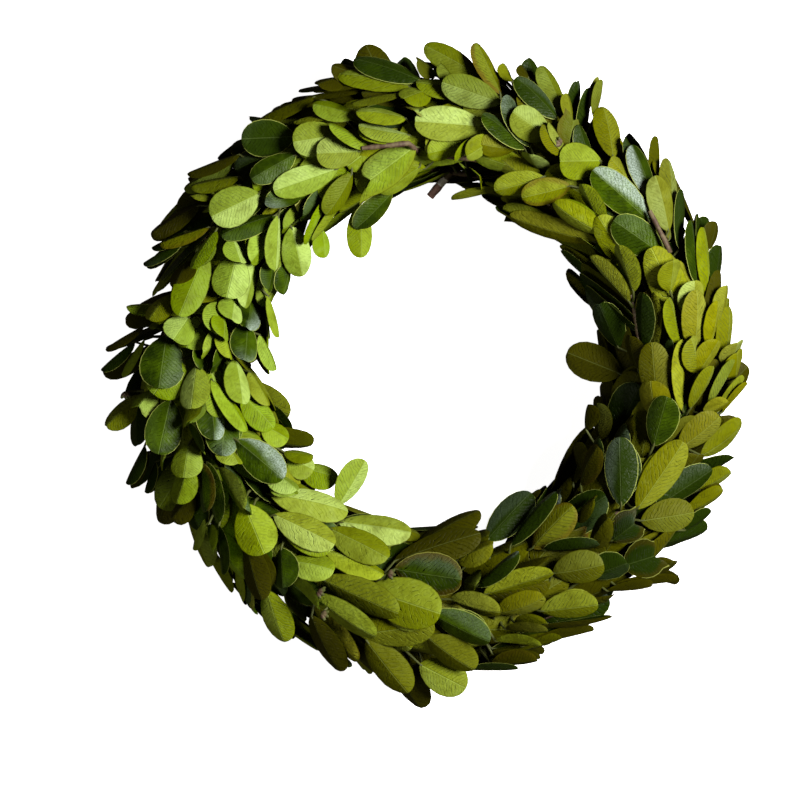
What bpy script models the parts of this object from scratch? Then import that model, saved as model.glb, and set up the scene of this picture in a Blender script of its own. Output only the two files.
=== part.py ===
"""A six-inch wreath of preserved boxwood, lying on its back with its front facing up.

Fifty leafy sprigs are bound in ten bunches of five to a ring of steel wire. A thin binding wire takes two
turns round the cut ends of each bunch and runs on to the next. The sprigs all point anticlockwise, seen from
the front, and each bunch lies over the bound ends of the next one. Every sprig is one solid: its stem, with
the roots of its leaves sunk into it. No leaf touches another sprig.

The origin is under the middle of the wreath's outline, on the surface that it lies on.

Places round the ring are given by an angle, anticlockwise from the right side of the wreath, a turn round
the ring's own section, where 0 is the outer side, 90 the front, 180 the hole and 270 the back, and a reach,
the distance from the ring's line.
"""

from collections import namedtuple
from math import acos, cos, pi, radians, sin, sqrt, tan
from random import Random

import bmesh
import bpy
from mathutils import Matrix, Vector
from mathutils.bvhtree import BVHTree

MM = 0.001

# The outline, from the photograph, whose two dimension lines give six inches
WREATH_HEIGHT = 152.4 * MM
WREATH_WIDTH = 147.0 * MM
PHOTO_MIDDLE = (425.5, 377.5)
PHOTO_HEIGHT = 673
PIXEL = WREATH_HEIGHT / PHOTO_HEIGHT

# The wire ring and the wire that binds the bunches to it
RING_RADIUS = 53.4 * MM
RING_CENTRE = Vector((1.9, 2.9, 13.5)) * MM
RING_WIRE = 1.1 * MM
RING_STEPS = 40
RING_SIDES = 5
BINDING_WIRE = 0.35 * MM
BINDING_RADIUS = 4.4 * MM
BINDING_TURNS = 2
BINDING_STEPS = 6
BINDING_SPREAD = (1.2 * MM, 4.8 * MM)
BINDING_RUN = (0.35, 0.62)

# The bunches: where each sprig lies round the ring's own section, in degrees
BUNCHES = 10
FRONT_BUNCH = (90, 162, 18, 306, 234)
TURNED_BUNCH = (54, 126, 342, 198, 270)
FIRST_BUNCH_AT = radians(8)
BETWEEN_SPRIGS = 36

# A sprig's stem: bound beside the ring's wire, then flaring out to where its leaves stand
STEM_LENGTH = 40 * MM
STEM_RADIUS = 0.8 * MM
STEM_STOPS = (0, 0.16, 0.36, 0.62, 1)
STEM_TAPER = (1, 1, 1, 0.95, 0.7)
STEM_DRIFT = radians(9)
BOUND_RADIUS = 2.3 * MM
BOUND_LENGTH = 6 * MM
FLARE_LENGTH = 17 * MM
LEAFY_RADIUS = 9.5 * MM
STEM_ABOVE_TABLE = 5 * MM

# A leaf: its half outline as shares of its length and of its half width, from the root to the tip
LEAF_LENGTH = 15.5 * MM
LEAF_WIDTH = 8.6 * MM
LEAF_THICKNESS = 0.6 * MM
LEAF_FOLD = radians(13)
LEAF_OUTLINE = ((0, 0), (0.38, 0.96), (0.82, 0.85), (1, 0))
FOLDED_FACES = ((0, 1, 2, 3), (0, 3, 4, 5))

# A leaf that bends where its blade starts: a slope up from the stem and a flat blade
BENT_OUTLINE = ((0, 0), (0.2, 0.75), (0.75, 0.95), (1, 0))
BENT_FACES = ((0, 1, 5), (1, 2, 3, 4, 5))

# Leaves are longest at the lower left of the wreath, where it is also thickest
MEAN_SIZE = 1.06
SIZE_SWELL = 0.15
BIGGEST_AT = radians(255)
CROWN_RADIUS = 17.9 * MM
CROWN_SWELL = 0.045
HOLE_RELIEF = 1.2 * MM
FRONT_DIP = 0.12

# The leaves of each sprig: how far up the stem, and the splay to each side
LEAF_PLAN = (
    (0.27, -1),
    (0.31, 1),
    (0.55, 1),
    (0.59, -1),
    (0.71, 0),
    (0.82, -1),
    (0.86, 1),
    (0.98, 0),
)
SIDE_SPLAY = radians(33)
FRONT_SPLAY = radians(6)
ROLL = radians(14)
STEEPEST_RISE = 0.72
LEAST_FORWARD = 0.3

# How much freer a leaf's splay, roll and rise become with each try that finds no room
TRIES = 13
LOOSE_SPLAY = radians(26)
LOOSE_ROLL = radians(30)
LOOSE_DROP = 0.2

# The room that each leaf keeps
CLEARANCE = 0.2 * MM
LOWEST_LEAF = 0.9 * MM
LOWEST_TIP = 2.2 * MM
SUNK_SHARE = 0.07
ROOTS_APART = 0.3 * MM
SLAB_SIDES = 6

# Single leaves that break the outline: the tip in the photograph, its height above the table in
# millimetres, and how far the leaf is turned from lying broad side up, in degrees
OUTER_TIPS = (
    (403, 59, 16, 40),
    (366, 44, 14, 15),
    (344, 58, 10, 50),
    (527, 58, 13, 45),
    (602, 78, 14, 78),
    (661, 136, 14, 72),
    (711, 219, 12, 55),
    (722, 245, 12, 62),
    (730, 299, 14, 66),
    (749, 367, 12, 30),
    (740, 420, 10, 50),
    (709, 531, 8, 55),
    (677, 586, 6, 72),
    (610, 600, 12, 15),
    (543, 658, 6, 70),
    (440, 660, 9, 10),
    (395, 650, 9, 10),
    (417, 713, 9, 45),
    (247, 600, 6, 60),
    (218, 562, 7, 60),
    (193, 550, 8, 70),
    (155, 522, 8, 30),
    (144, 492, 7, 60),
    (127, 485, 7, 65),
    (102, 370, 8, 60),
    (105, 348, 7, 70),
    (122, 318, 10, 50),
    (112, 295, 9, 66),
    (119, 301, 7, 60),
    (143, 263, 8, 70),
    (150, 235, 9, 66),
    (178, 219, 8, 45),
    (187, 175, 10, 68),
    (249, 114, 10, 75),
    (292, 96, 11, 55),
)
INNER_TIPS = (
    (288, 417, 8, 40),
    (312, 449, 9, 55),
    (570, 267, 8, 65),
)
TIP_SPAN = (0.75, 1.35)
TIP_NODES = 20
LOWEST_NODE = 0.3
FORWARD_WORTH = 0.55
TIP_CHOICES = 60
TIP_ROLLS = (0, 15, -15)

# Single leaves of the front, in the photograph's pixels: the tip, where the leaf goes out of sight towards
# its root, and how wide it looks
FRONT_LEAVES = (
    (356, 230, 392, 193, 24),
    (566, 352, 620, 374, 38),
    (242, 140, 295, 138, 38),
    (338, 73, 411, 88, 22),
    (425, 45, 478, 75, 26),
    (477, 42, 500, 95, 18),
    (542, 65, 563, 116, 20),
    (603, 106, 612, 158, 26),
    (672, 157, 668, 240, 20),
    (745, 424, 700, 455, 22),
    (731, 472, 700, 490, 18),
    (466, 688, 420, 664, 36),
    (339, 673, 312, 615, 26),
    (284, 643, 268, 590, 30),
    (106, 427, 140, 395, 24),
    (361, 258, 360, 205, 26),
    (303, 277, 292, 228, 30),
    (365, 460, 338, 505, 26),
    (411, 531, 340, 522, 30),
    (479, 509, 415, 545, 22),
    (531, 492, 487, 540, 34),
    (596, 403, 600, 440, 19),
    (354, 60, 420, 82, 26),
    (314, 105, 356, 117, 20),
    (352, 105, 402, 95, 13),
    (357, 112, 406, 120, 22),
    (359, 128, 410, 137, 20),
    (294, 144, 340, 136, 36),
    (318, 155, 360, 153, 33),
    (330, 126, 370, 150, 14),
    (276, 192, 338, 170, 30),
    (360, 189, 415, 148, 37),
    (381, 194, 420, 167, 18),
    (327, 216, 352, 175, 22),
    (306, 246, 328, 196, 7),
    (315, 243, 332, 198, 6),
    (293, 121, 340, 112, 12),
    (404, 100, 430, 90, 24),
    (416, 123, 484, 128, 36),
    (414, 113, 480, 108, 20),
    (442, 84, 500, 104, 32),
    (440, 64, 455, 85, 12),
    (503, 63, 512, 82, 10),
    (516, 78, 556, 120, 22),
    (484, 115, 524, 150, 18),
    (505, 97, 530, 148, 24),
    (512, 114, 550, 140, 34),
    (428, 155, 462, 146, 21),
    (454, 163, 478, 140, 14),
    (466, 158, 492, 140, 24),
    (480, 146, 515, 150, 22),
    (479, 177, 526, 155, 27),
    (494, 192, 542, 178, 23),
    (521, 199, 569, 187, 27),
    (452, 203, 500, 190, 12),
    (508, 218, 596, 243, 22),
    (560, 163, 600, 162, 38),
    (592, 172, 648, 222, 34),
    (610, 160, 634, 190, 20),
    (631, 146, 652, 200, 22),
    (655, 177, 667, 232, 22),
    (580, 186, 602, 228, 16),
    (552, 207, 606, 236, 22),
    (613, 222, 662, 256, 36),
    (616, 247, 632, 292, 20),
    (589, 257, 628, 302, 20),
    (650, 250, 652, 300, 38),
    (672, 262, 668, 292, 16),
    (704, 227, 707, 296, 14),
    (689, 221, 695, 284, 12),
    (693, 282, 690, 320, 26),
    (695, 291, 692, 350, 26),
    (694, 320, 696, 352, 18),
    (718, 302, 708, 348, 20),
    (726, 286, 718, 322, 8),
    (689, 339, 697, 372, 16),
    (717, 341, 696, 374, 20),
    (680, 340, 681, 410, 19),
    (668, 299, 679, 345, 20),
    (657, 301, 664, 345, 18),
    (652, 294, 662, 312, 14),
    (640, 294, 641, 348, 24),
    (598, 304, 618, 348, 28),
    (622, 330, 655, 340, 16),
    (627, 337, 637, 370, 18),
    (664, 337, 668, 398, 24),
    (650, 343, 656, 405, 30),
    (648, 382, 655, 420, 26),
    (712, 367, 689, 408, 13),
    (735, 361, 707, 407, 14),
    (737, 343, 728, 365, 18),
    (737, 353, 735, 378, 14),
    (747, 380, 716, 413, 16),
    (727, 402, 702, 415, 14),
    (719, 417, 678, 448, 28),
    (694, 417, 656, 450, 15),
    (665, 397, 652, 445, 30),
    (674, 411, 652, 440, 20),
    (574, 444, 583, 472, 14),
    (618, 437, 620, 505, 34),
    (682, 442, 636, 508, 34),
    (697, 455, 680, 475, 16),
    (712, 470, 655, 506, 22),
    (724, 492, 686, 512, 22),
    (693, 512, 640, 520, 34),
    (660, 553, 622, 565, 40),
    (637, 520, 610, 540, 34),
    (673, 561, 650, 578, 20),
    (606, 516, 588, 545, 22),
    (622, 524, 598, 552, 28),
    (626, 562, 588, 575, 30),
    (593, 498, 574, 516, 12),
    (571, 505, 532, 547, 32),
    (556, 491, 512, 546, 14),
    (597, 544, 543, 549, 14),
    (602, 563, 552, 572, 34),
    (548, 553, 508, 567, 14),
    (552, 573, 484, 593, 28),
    (543, 598, 497, 612, 24),
    (517, 550, 477, 585, 20),
    (492, 543, 457, 560, 20),
    (488, 534, 463, 546, 14),
    (480, 532, 395, 560, 26),
    (461, 578, 395, 568, 44),
    (471, 583, 430, 560, 34),
    (498, 613, 450, 598, 28),
    (489, 640, 432, 612, 30),
    (440, 612, 368, 588, 50),
    (547, 631, 505, 628, 10),
    (541, 645, 495, 640, 9),
    (540, 660, 492, 653, 9),
    (597, 604, 540, 610, 28),
    (612, 619, 535, 626, 8),
    (349, 510, 272, 494, 30),
    (335, 543, 275, 514, 32),
    (388, 556, 330, 528, 32),
    (334, 568, 288, 560, 28),
    (384, 573, 328, 550, 20),
    (405, 604, 332, 566, 30),
    (398, 613, 322, 578, 26),
    (374, 637, 314, 594, 24),
    (408, 694, 367, 640, 34),
    (265, 552, 245, 503, 42),
    (283, 586, 282, 547, 32),
    (319, 607, 293, 580, 11),
    (355, 660, 310, 612, 20),
    (298, 488, 268, 470, 18),
    (284, 478, 238, 440, 36),
    (314, 470, 288, 458, 26),
    (289, 439, 262, 425, 18),
    (275, 427, 243, 395, 26),
    (249, 430, 213, 380, 16),
    (217, 439, 210, 392, 28),
    (224, 455, 226, 400, 36),
    (240, 462, 222, 440, 14),
    (160, 454, 172, 400, 38),
    (188, 422, 192, 403, 22),
    (185, 477, 190, 444, 32),
    (178, 503, 190, 465, 26),
    (205, 511, 203, 463, 22),
    (219, 522, 208, 462, 22),
    (245, 508, 220, 468, 16),
    (254, 509, 233, 464, 18),
    (262, 599, 247, 540, 30),
    (213, 550, 209, 525, 9),
    (224, 574, 220, 525, 10),
    (181, 316, 207, 252, 34),
    (228, 298, 238, 255, 38),
    (246, 308, 255, 262, 18),
    (233, 320, 236, 298, 26),
    (250, 324, 260, 285, 24),
    (246, 360, 248, 322, 28),
    (216, 332, 220, 303, 22),
    (175, 340, 190, 318, 34),
    (188, 347, 200, 328, 24),
    (161, 387, 168, 336, 46),
    (155, 394, 182, 360, 44),
    (208, 354, 210, 332, 14),
    (216, 367, 218, 330, 16),
    (203, 371, 206, 350, 20),
    (193, 409, 198, 366, 30),
    (243, 404, 236, 360, 24),
    (232, 358, 222, 330, 12),
    (137, 410, 152, 390, 26),
    (127, 306, 165, 280, 6),
    (121, 375, 145, 340, 6),
    (253, 180, 296, 156, 24),
    (267, 203, 310, 195, 18),
    (213, 218, 260, 195, 40),
    (222, 234, 276, 216, 22),
    (242, 263, 234, 240, 14),
    (255, 262, 268, 228, 20),
    (277, 271, 279, 217, 15),
    (192, 268, 217, 232, 14),
    (284, 295, 290, 262, 16),
    (270, 290, 273, 262, 14),
    (160, 243, 210, 228, 12),
    (192, 187, 240, 178, 14),
    (192, 197, 215, 193, 8),
    (213, 195, 240, 186, 14),
    (325, 258, 322, 230, 18),
    (580, 82, 590, 116, 14),
    (566, 94, 571, 122, 6),
    (574, 116, 567, 148, 22),
    (541, 128, 560, 156, 8),
    (548, 124, 566, 152, 8),
    (579, 126, 588, 150, 14),
    (626, 139, 634, 180, 12),
    (528, 158, 564, 152, 14),
    (516, 168, 556, 166, 8),
    (338, 478, 300, 468, 20),
    (733, 458, 708, 474, 15),
    (474, 670, 428, 636, 32),
    (172, 283, 188, 262, 14),
    (150, 320, 172, 295, 22),
    (281, 337, 268, 296, 6),
    (277, 370, 260, 335, 12),
    (225, 338, 224, 315, 16),
    (205, 452, 190, 425, 12),
    (190, 422, 198, 400, 16),
    (176, 405, 170, 380, 14),
    (148, 386, 145, 365, 14),
    (163, 461, 163, 448, 8),
    (198, 528, 192, 490, 18),
    (172, 519, 195, 495, 16),
    (291, 294, 284, 262, 14),
    (178, 284, 190, 262, 16),
    (165, 322, 180, 290, 22),
    (240, 395, 226, 350, 16),
    (222, 416, 212, 372, 14),
    (270, 405, 250, 372, 14),
)
FRONT_SPAN = (0.68, 1.3)
FRONT_AIM = 7
FRONT_NODES = 14
BLADE_DIP = 4.2 * MM
STALK_SPAN = (1.5 * MM, 11 * MM)
STALK_AIM = 0.4
FRONT_LIFTS = (0, -0.8, 0.8, -1.6, 1.6, -2.6)
FRONT_ROLLS = (0, 12, -12)
NARROWEST = 0.8
FLATTEST_CROWN = 4 * MM

# The cut end of a side twig that stands into the hole at its top
TWIG_END = (430, 196, 9)
TWIG_START = (450, 172, 9)
TWIG_REACH = (6 * MM, 14 * MM)
TWIG_RADIUS = 0.9 * MM
TWIG_BARE = 0.45
TWIG_CLEAR = 2 * MM
# How much stays open over the twig and over the leaves of the front
SKY = Vector((0, 0, 18)) * MM
SIGHT_FROM = Vector((0, 0, 1.2)) * MM
SIGHT_SHARES = (0.4, 0.8)
SIGHT_WIDTH = 0.25

# Leaves pressed flat on the table, on which the wreath rests: one on the back sprig of each turned bunch
PRESSED_PLACE = 4
PRESSED_SHARE = 0.62
PRESSED_STALK = 3 * MM
PRESSED_OUTWARD = 0.24
PRESSED_WIDTH = 1.1

# The colours of the sprigs' leaves, and how many sprigs in ten have each
TONES = ("leaf_bright",) * 6 + ("leaf_deep",) * 3 + ("leaf_olive",)

Sprig = namedtuple("Sprig", "name size stops")
Leaf = namedtuple("Leaf", "root tip normal width fold heel")
Twig = namedtuple("Twig", "owner root end")


def ring_frame(angle):
    """The outward and the anticlockwise direction at an angle round the wreath."""
    return Vector((cos(angle), sin(angle), 0)), Vector((-sin(angle), cos(angle), 0))


def section_normal(angle, turn):
    """The direction away from the ring's line."""
    outward, _ = ring_frame(angle)
    return outward * cos(turn) + Vector((0, 0, sin(turn)))


def ring_point(angle, turn, reach):
    outward, _ = ring_frame(angle)
    return RING_CENTRE + outward * RING_RADIUS + section_normal(angle, turn) * reach


def place_of(point):
    """The angle, the turn and the reach of a point."""
    flat = Vector((point.x - RING_CENTRE.x, point.y - RING_CENTRE.y))
    section = Vector((flat.length - RING_RADIUS, point.z - RING_CENTRE.z))
    right = Vector((1, 0))
    return -right.angle_signed(flat), -right.angle_signed(section), section.length


def from_photo(x, y, height):
    """The point over a pixel of the photograph, at a height in millimetres above the table."""
    return Vector(((x - PHOTO_MIDDLE[0]) * PIXEL, (PHOTO_MIDDLE[1] - y) * PIXEL, height * MM))


def reach_above_table(turn, reach, height):
    """The reach, cut short where it would come lower than a height above the table."""
    down = max(-sin(turn), 0)
    return reach if reach * down < RING_CENTRE.z - height else (RING_CENTRE.z - height) / down


def smooth(t):
    t = min(max(t, 0), 1)
    return t * t * (3 - 2 * t)


def leaf_size(angle):
    return MEAN_SIZE + SIZE_SWELL * cos(angle - BIGGEST_AT)


def crown_reach(angle, turn):
    """How far the tips of the leaves stand from the ring's line."""
    return CROWN_RADIUS * (1 + CROWN_SWELL * cos(angle - BIGGEST_AT)) - HOLE_RELIEF * max(-cos(turn), 0)


def make_sprig(bunch, place, turn_degrees):
    """A sprig as the stops of its stem."""
    name = f"sprig_{bunch + 1:02d}_{place + 1}"
    draw = Random(name)
    angle = FIRST_BUNCH_AT + 2 * pi * bunch / BUNCHES
    turn = radians(turn_degrees)
    drift = draw.uniform(-STEM_DRIFT, STEM_DRIFT)
    leafy = reach_above_table(turn, LEAFY_RADIUS * draw.uniform(0.92, 1.12), STEM_ABOVE_TABLE)
    length = STEM_LENGTH * draw.uniform(0.94, 1.06)
    track = RING_RADIUS + leafy * cos(turn)
    stops = []
    for share in STEM_STOPS:
        along = share * length
        flare = smooth((along - BOUND_LENGTH) / FLARE_LENGTH)
        reach = BOUND_RADIUS + (leafy - BOUND_RADIUS) * flare
        stops.append(ring_point(angle + along / track, turn + drift * share * flare, reach))
    size = leaf_size(angle + STEM_LENGTH / RING_RADIUS / 2) * draw.uniform(0.95, 1.06)
    return Sprig(name, size, stops)


def make_sprigs():
    sprigs = []
    for bunch in range(BUNCHES):
        turns = TURNED_BUNCH if bunch % 2 else FRONT_BUNCH
        sprigs += [make_sprig(bunch, place, turn) for place, turn in enumerate(turns)]
    return sprigs


def stem_point(sprig, share):
    """The point on a stem's own line at a share of its length."""
    for i in range(len(STEM_STOPS) - 1):
        low, high = STEM_STOPS[i], STEM_STOPS[i + 1]
        if share <= high:
            return sprig.stops[i].lerp(sprig.stops[i + 1], (share - low) / (high - low))
    return sprig.stops[-1]


def binding_points():
    """The binding wire: its turns round each bunch, and a run between its stems to the next bunch."""
    points = []
    step = 2 * pi / BUNCHES
    count = BINDING_TURNS * BINDING_STEPS
    start, end = BINDING_SPREAD
    for bunch in range(BUNCHES):
        angle = FIRST_BUNCH_AT + step * bunch
        gap = radians((TURNED_BUNCH if bunch % 2 else FRONT_BUNCH)[0] + BETWEEN_SPRIGS)
        for i in range(count + 1):
            along = start + (end - start) * i / count
            turn = gap + 2 * pi * BINDING_TURNS * i / count
            points.append(ring_point(angle + along / RING_RADIUS, turn, BINDING_RADIUS))
        if bunch < BUNCHES - 1:
            points += [ring_point(angle + step * share, gap, BINDING_RADIUS) for share in BINDING_RUN]
    return points


def outline_points(leaf, grow=0):
    """The rim of a leaf from its root round to its root again, and the side that it faces."""
    heel = leaf.root if leaf.heel is None else leaf.heel
    shape = LEAF_OUTLINE if leaf.heel is None else BENT_OUTLINE
    length = (leaf.tip - heel).length
    axis = (leaf.tip - heel) / length
    side = leaf.normal.cross(axis).normalized()
    normal = axis.cross(side)

    def point(share, across):
        wide = across * (leaf.width / 2 + grow)
        return heel + axis * share * (length + grow) + side * wide - normal * abs(wide) * tan(leaf.fold)

    left = [point(share, across) for share, across in shape]
    right = [point(share, -across) for share, across in shape[-2:0:-1]]
    return [leaf.root] + left[1:] + right, normal


def leaf_faces(leaf):
    """The two halves of a folded leaf, or the slope and the flat blade of a bent one."""
    return FOLDED_FACES if leaf.heel is None else BENT_FACES


def leaf_slab(leaf):
    """A leaf with the clearance added all round, as a tree of faces for testing what it meets."""
    rim, normal = outline_points(leaf, CLEARANCE)
    lift = normal * (LEAF_THICKNESS / 2 + CLEARANCE)
    count = len(rim)
    points = [p + lift for p in rim] + [p - lift for p in rim]
    faces = list(leaf_faces(leaf))
    faces += [tuple(i + count for i in face) for face in leaf_faces(leaf)]
    faces += [(i, (i + 1) % count, (i + 1) % count + count, i + count) for i in range(count)]
    return BVHTree.FromPolygons(points, faces)


def rod_slab(start, end, radius):
    """A straight length of stem or wire with the clearance added, as a tree of faces."""
    run = (end - start).normalized()
    wide = run.orthogonal().normalized() * (radius + CLEARANCE) / cos(pi / SLAB_SIDES)
    turned = [Matrix.Rotation(2 * pi * k / SLAB_SIDES, 3, run) @ wide for k in range(SLAB_SIDES)]
    points = [start + direction for direction in turned] + [end + direction for direction in turned]
    nexts = [(k, (k + 1) % SLAB_SIDES) for k in range(SLAB_SIDES)]
    return BVHTree.FromPolygons(points, [(a, b, b + SLAB_SIDES, a + SLAB_SIDES) for a, b in nexts])


class Thicket:
    """What has grown so far, and whether a new leaf or twig is clear of it."""

    def __init__(self):
        self.things = []
        self.leaves = {}

    def add_rods(self, points, radius, owner):
        for a, b in zip(points, points[1:]):
            ball = ((a + b) / 2, (a - b).length / 2 + radius + CLEARANCE)
            self.things.append((rod_slab(a, b, radius), *ball, owner))

    def add_leaf(self, leaf, owner):
        self.leaves.setdefault(owner, []).append(leaf)
        self.things.append((leaf_slab(leaf), *leaf_ball(leaf), owner))

    def meets(self, tree, middle, radius, owner):
        """Whether a shape meets anything that grows from another stem."""
        for other, centre, size, whose in self.things:
            if whose != owner and (centre - middle).length < size + radius and tree.overlap(other):
                return True
        return False

    def has_room(self, leaf, owner):
        rim, _ = outline_points(leaf)
        if min(p.z for p in rim) < LOWEST_LEAF:
            return False
        if max(abs(p.x) for p in rim) > WREATH_WIDTH / 2 or max(abs(p.y) for p in rim) > WREATH_HEIGHT / 2:
            return False
        owned = self.leaves.get(owner, ())
        if any((own.root - leaf.root).length < ROOTS_APART for own in owned):
            return False
        if self.meets(leaf_slab(leaf), *leaf_ball(leaf), owner):
            return False
        tree = leaf_slab(outer_part(leaf))
        return not any(tree.overlap(leaf_slab(outer_part(own))) for own in owned)


def leaf_ball(leaf):
    return (leaf.root + leaf.tip) / 2, (leaf.tip - leaf.root).length / 2 + LEAF_THICKNESS


def outer_part(leaf):
    """A leaf without its root, where the leaves of one sprig run together in the stem."""
    return leaf._replace(root=leaf.root.lerp(leaf.tip, SUNK_SHARE))


def grow_leaf(sprig, share, side, draw, looseness):
    """One try at a leaf that runs from the stem forward to the crown."""
    root = stem_point(sprig, share)
    angle, turn, reach = place_of(root)
    length = LEAF_LENGTH * sprig.size * draw.uniform(0.86, 1.1)
    splay = side * SIDE_SPLAY * draw.uniform(0.7, 1.2) + FRONT_SPLAY * draw.uniform(-1, 1)
    splay += LOOSE_SPLAY * looseness * draw.uniform(-1, 1)
    crown = crown_reach(angle, turn) * draw.uniform(0.88, 1.04) * (1 - LOOSE_DROP * looseness * draw.random())
    crown *= 1 - FRONT_DIP * max(sin(turn), 0)
    rise = min(crown - reach, STEEPEST_RISE * length)
    across = length * sin(splay)
    forward = sqrt(max(length * length - rise * rise - across * across, (LEAST_FORWARD * length) ** 2))

    halfway = reach + rise / 2
    tip_turn = turn + across / halfway
    tip_angle = angle + forward / (RING_RADIUS + halfway * cos(turn))
    tip = ring_point(tip_angle, tip_turn, reach_above_table(tip_turn, reach + rise, LOWEST_TIP))
    axis = (tip - root).normalized()

    outside = section_normal((angle + tip_angle) / 2, (turn + tip_turn) / 2)
    roll = (ROLL + LOOSE_ROLL * looseness) * draw.uniform(-1, 1)
    normal = Matrix.Rotation(roll, 3, axis) @ (outside - axis * outside.dot(axis)).normalized()
    width = LEAF_WIDTH * sprig.size * draw.uniform(0.85, 1.12)
    fold = LEAF_FOLD * draw.uniform(0.5, 1.4) * draw.choice((1, 1, -1))
    return Leaf(root, root + axis * length, normal, width, fold, None)


def nodes_near(tip, sprigs):
    """Where on the stems a leaf that ends at a given tip would most likely grow, best first."""
    choices = []
    for sprig in sprigs:
        for step in range(TIP_NODES):
            root = stem_point(sprig, LOWEST_NODE + (1 - LOWEST_NODE) * step / (TIP_NODES - 1))
            along = tip - root
            span = along.length / (LEAF_LENGTH * sprig.size)
            if TIP_SPAN[0] < span < TIP_SPAN[1]:
                _, forward = ring_frame(place_of(root)[0])
                astray = 1 - along.normalized().dot(forward)
                choices.append((abs(span - 1) + FORWARD_WORTH * astray, sprig, root))
    return sorted(choices, key=lambda choice: choice[0])[:TIP_CHOICES]


def reach_for(tip, facing, sprigs, thicket):
    """Grow a leaf that ends at a given tip, from the first likely node that leaves it room."""
    outward, _ = ring_frame(place_of(tip)[0])
    for _, sprig, root in nodes_near(tip, sprigs):
        axis = (tip - root).normalized()
        up = (Vector((0, 0, 1)) - axis * axis.z).normalized()
        way = 1 if up.cross(outward).dot(axis) > 0 else -1
        for roll in TIP_ROLLS:
            normal = Matrix.Rotation(radians(facing + roll) * way, 3, axis) @ up
            leaf = Leaf(root, tip, normal, LEAF_WIDTH * sprig.size, LEAF_FOLD, None)
            if thicket.has_room(leaf, sprig.name):
                thicket.add_leaf(leaf, sprig.name)
                return


def crown_point(x, y, dip=0):
    """The point over a pixel at the front's crown, or at a depth under it, and the side of the ring it is on."""
    flat = from_photo(x, y, 0)
    off = Vector((flat.x - RING_CENTRE.x, flat.y - RING_CENTRE.y)).length - RING_RADIUS
    angle, _, _ = place_of(flat)
    reach = crown_reach(angle, acos(min(max(off / CROWN_RADIUS, -1), 1))) - dip
    flat.z = RING_CENTRE.z + sqrt(max(reach * reach - off * off, FLATTEST_CROWN * FLATTEST_CROWN))
    return flat, 1 if off > 0 else -1


def stem_nodes(sprigs):
    for sprig in sprigs:
        for step in range(TIP_NODES):
            yield sprig, stem_point(sprig, LOWEST_NODE + (1 - LOWEST_NODE) * step / (TIP_NODES - 1))


def nodes_under(heel, tip, sprigs):
    """Where a stalk that reaches the start of a blade would most likely grow, best first."""
    aim = (tip - heel).normalized()
    choices = []
    for sprig, root in stem_nodes(sprigs):
        stalk = heel - root
        if STALK_SPAN[0] < stalk.length < STALK_SPAN[1] and stalk.dot(aim) > 0:
            choices.append((stalk.length - STALK_AIM * stalk.dot(aim), sprig, root))
    return [choice[1:] for choice in sorted(choices, key=lambda choice: choice[0])[:FRONT_NODES]]


def nodes_behind(heel, tip, sprigs):
    """Where on the stems a straight leaf that runs over its blade's start would grow, best first."""
    aim = (tip - heel).to_2d().normalized()
    choices = []
    for sprig, root in stem_nodes(sprigs):
        along = tip - root
        span = along.length / (LEAF_LENGTH * sprig.size)
        if FRONT_SPAN[0] < span < FRONT_SPAN[1]:
            astray = 1 - along.to_2d().normalized().dot(aim)
            choices.append((abs(span - 1) + FRONT_AIM * astray, sprig, root))
    return [choice[1:] for choice in sorted(choices, key=lambda choice: choice[0])[:FRONT_NODES]]


def front_choices(place, sprigs):
    """The ways in which a leaf of the front could grow, likeliest first: bent where its blade starts, or straight."""
    x, y, base_x, base_y, wide = place[:5]
    crown, side = crown_point(x, y)
    foot, _ = crown_point(base_x, base_y, BLADE_DIP)
    outward, _ = ring_frame(place_of(crown)[0])
    for find_nodes in (nodes_under, nodes_behind):
        for lift in FRONT_LIFTS:
            raised = Vector((0, 0, lift * MM))
            tip, heel = crown + raised, foot + raised
            for sprig, root in find_nodes(heel, tip, sprigs):
                bent = find_nodes is nodes_under
                axis = (tip - (heel if bent else root)).normalized()
                up = (Vector((0, 0, 1)) - axis * axis.z).normalized()
                way = side if up.cross(outward).dot(axis) > 0 else -side
                width = max(wide * PIXEL, NARROWEST * LEAF_WIDTH * sprig.size)
                turned = acos(wide * PIXEL / width)
                for roll in FRONT_ROLLS:
                    normal = Matrix.Rotation((turned + radians(roll)) * way, 3, axis) @ up
                    fold, start = (0, heel) if bent else (LEAF_FOLD, None)
                    yield sprig.name, Leaf(root, tip, normal, width, fold, start)


def grow_front_leaf(place, sprigs, thicket):
    """Grow a leaf of the front as the photograph shows it, the first way that leaves it room."""
    for owner, leaf in front_choices(place, sprigs):
        if thicket.has_room(leaf, owner):
            thicket.add_leaf(leaf, owner)
            return leaf
    return None


def keep_in_sight(leaf, thicket):
    """Let nothing that grows later cover a leaf of the front."""
    start = leaf.root if leaf.heel is None else leaf.heel
    for share in SIGHT_SHARES:
        foot = start.lerp(leaf.tip, share) + SIGHT_FROM
        thicket.add_rods([foot, foot + SKY], leaf.width * SIGHT_WIDTH, "")


def grow_twig(start, end, sprigs, thicket):
    """A side twig that ends at a given point, from the stem nearest to where it starts that it can reach."""
    nodes = []
    for sprig in sprigs:
        for step in range(TIP_NODES):
            root = stem_point(sprig, LOWEST_NODE + (1 - LOWEST_NODE) * step / (TIP_NODES - 1))
            if TWIG_REACH[0] < (end - root).length < TWIG_REACH[1]:
                nodes.append(((start - root).length, sprig.name, root))
    for _, owner, root in sorted(nodes, key=lambda node: node[0]):
        slab = rod_slab(root, end, TWIG_RADIUS)
        if not thicket.meets(slab, (root + end) / 2, (end - root).length / 2, owner):
            thicket.add_rods([root, end], TWIG_RADIUS, owner)
            return Twig(owner, root, end)
    return None


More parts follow.
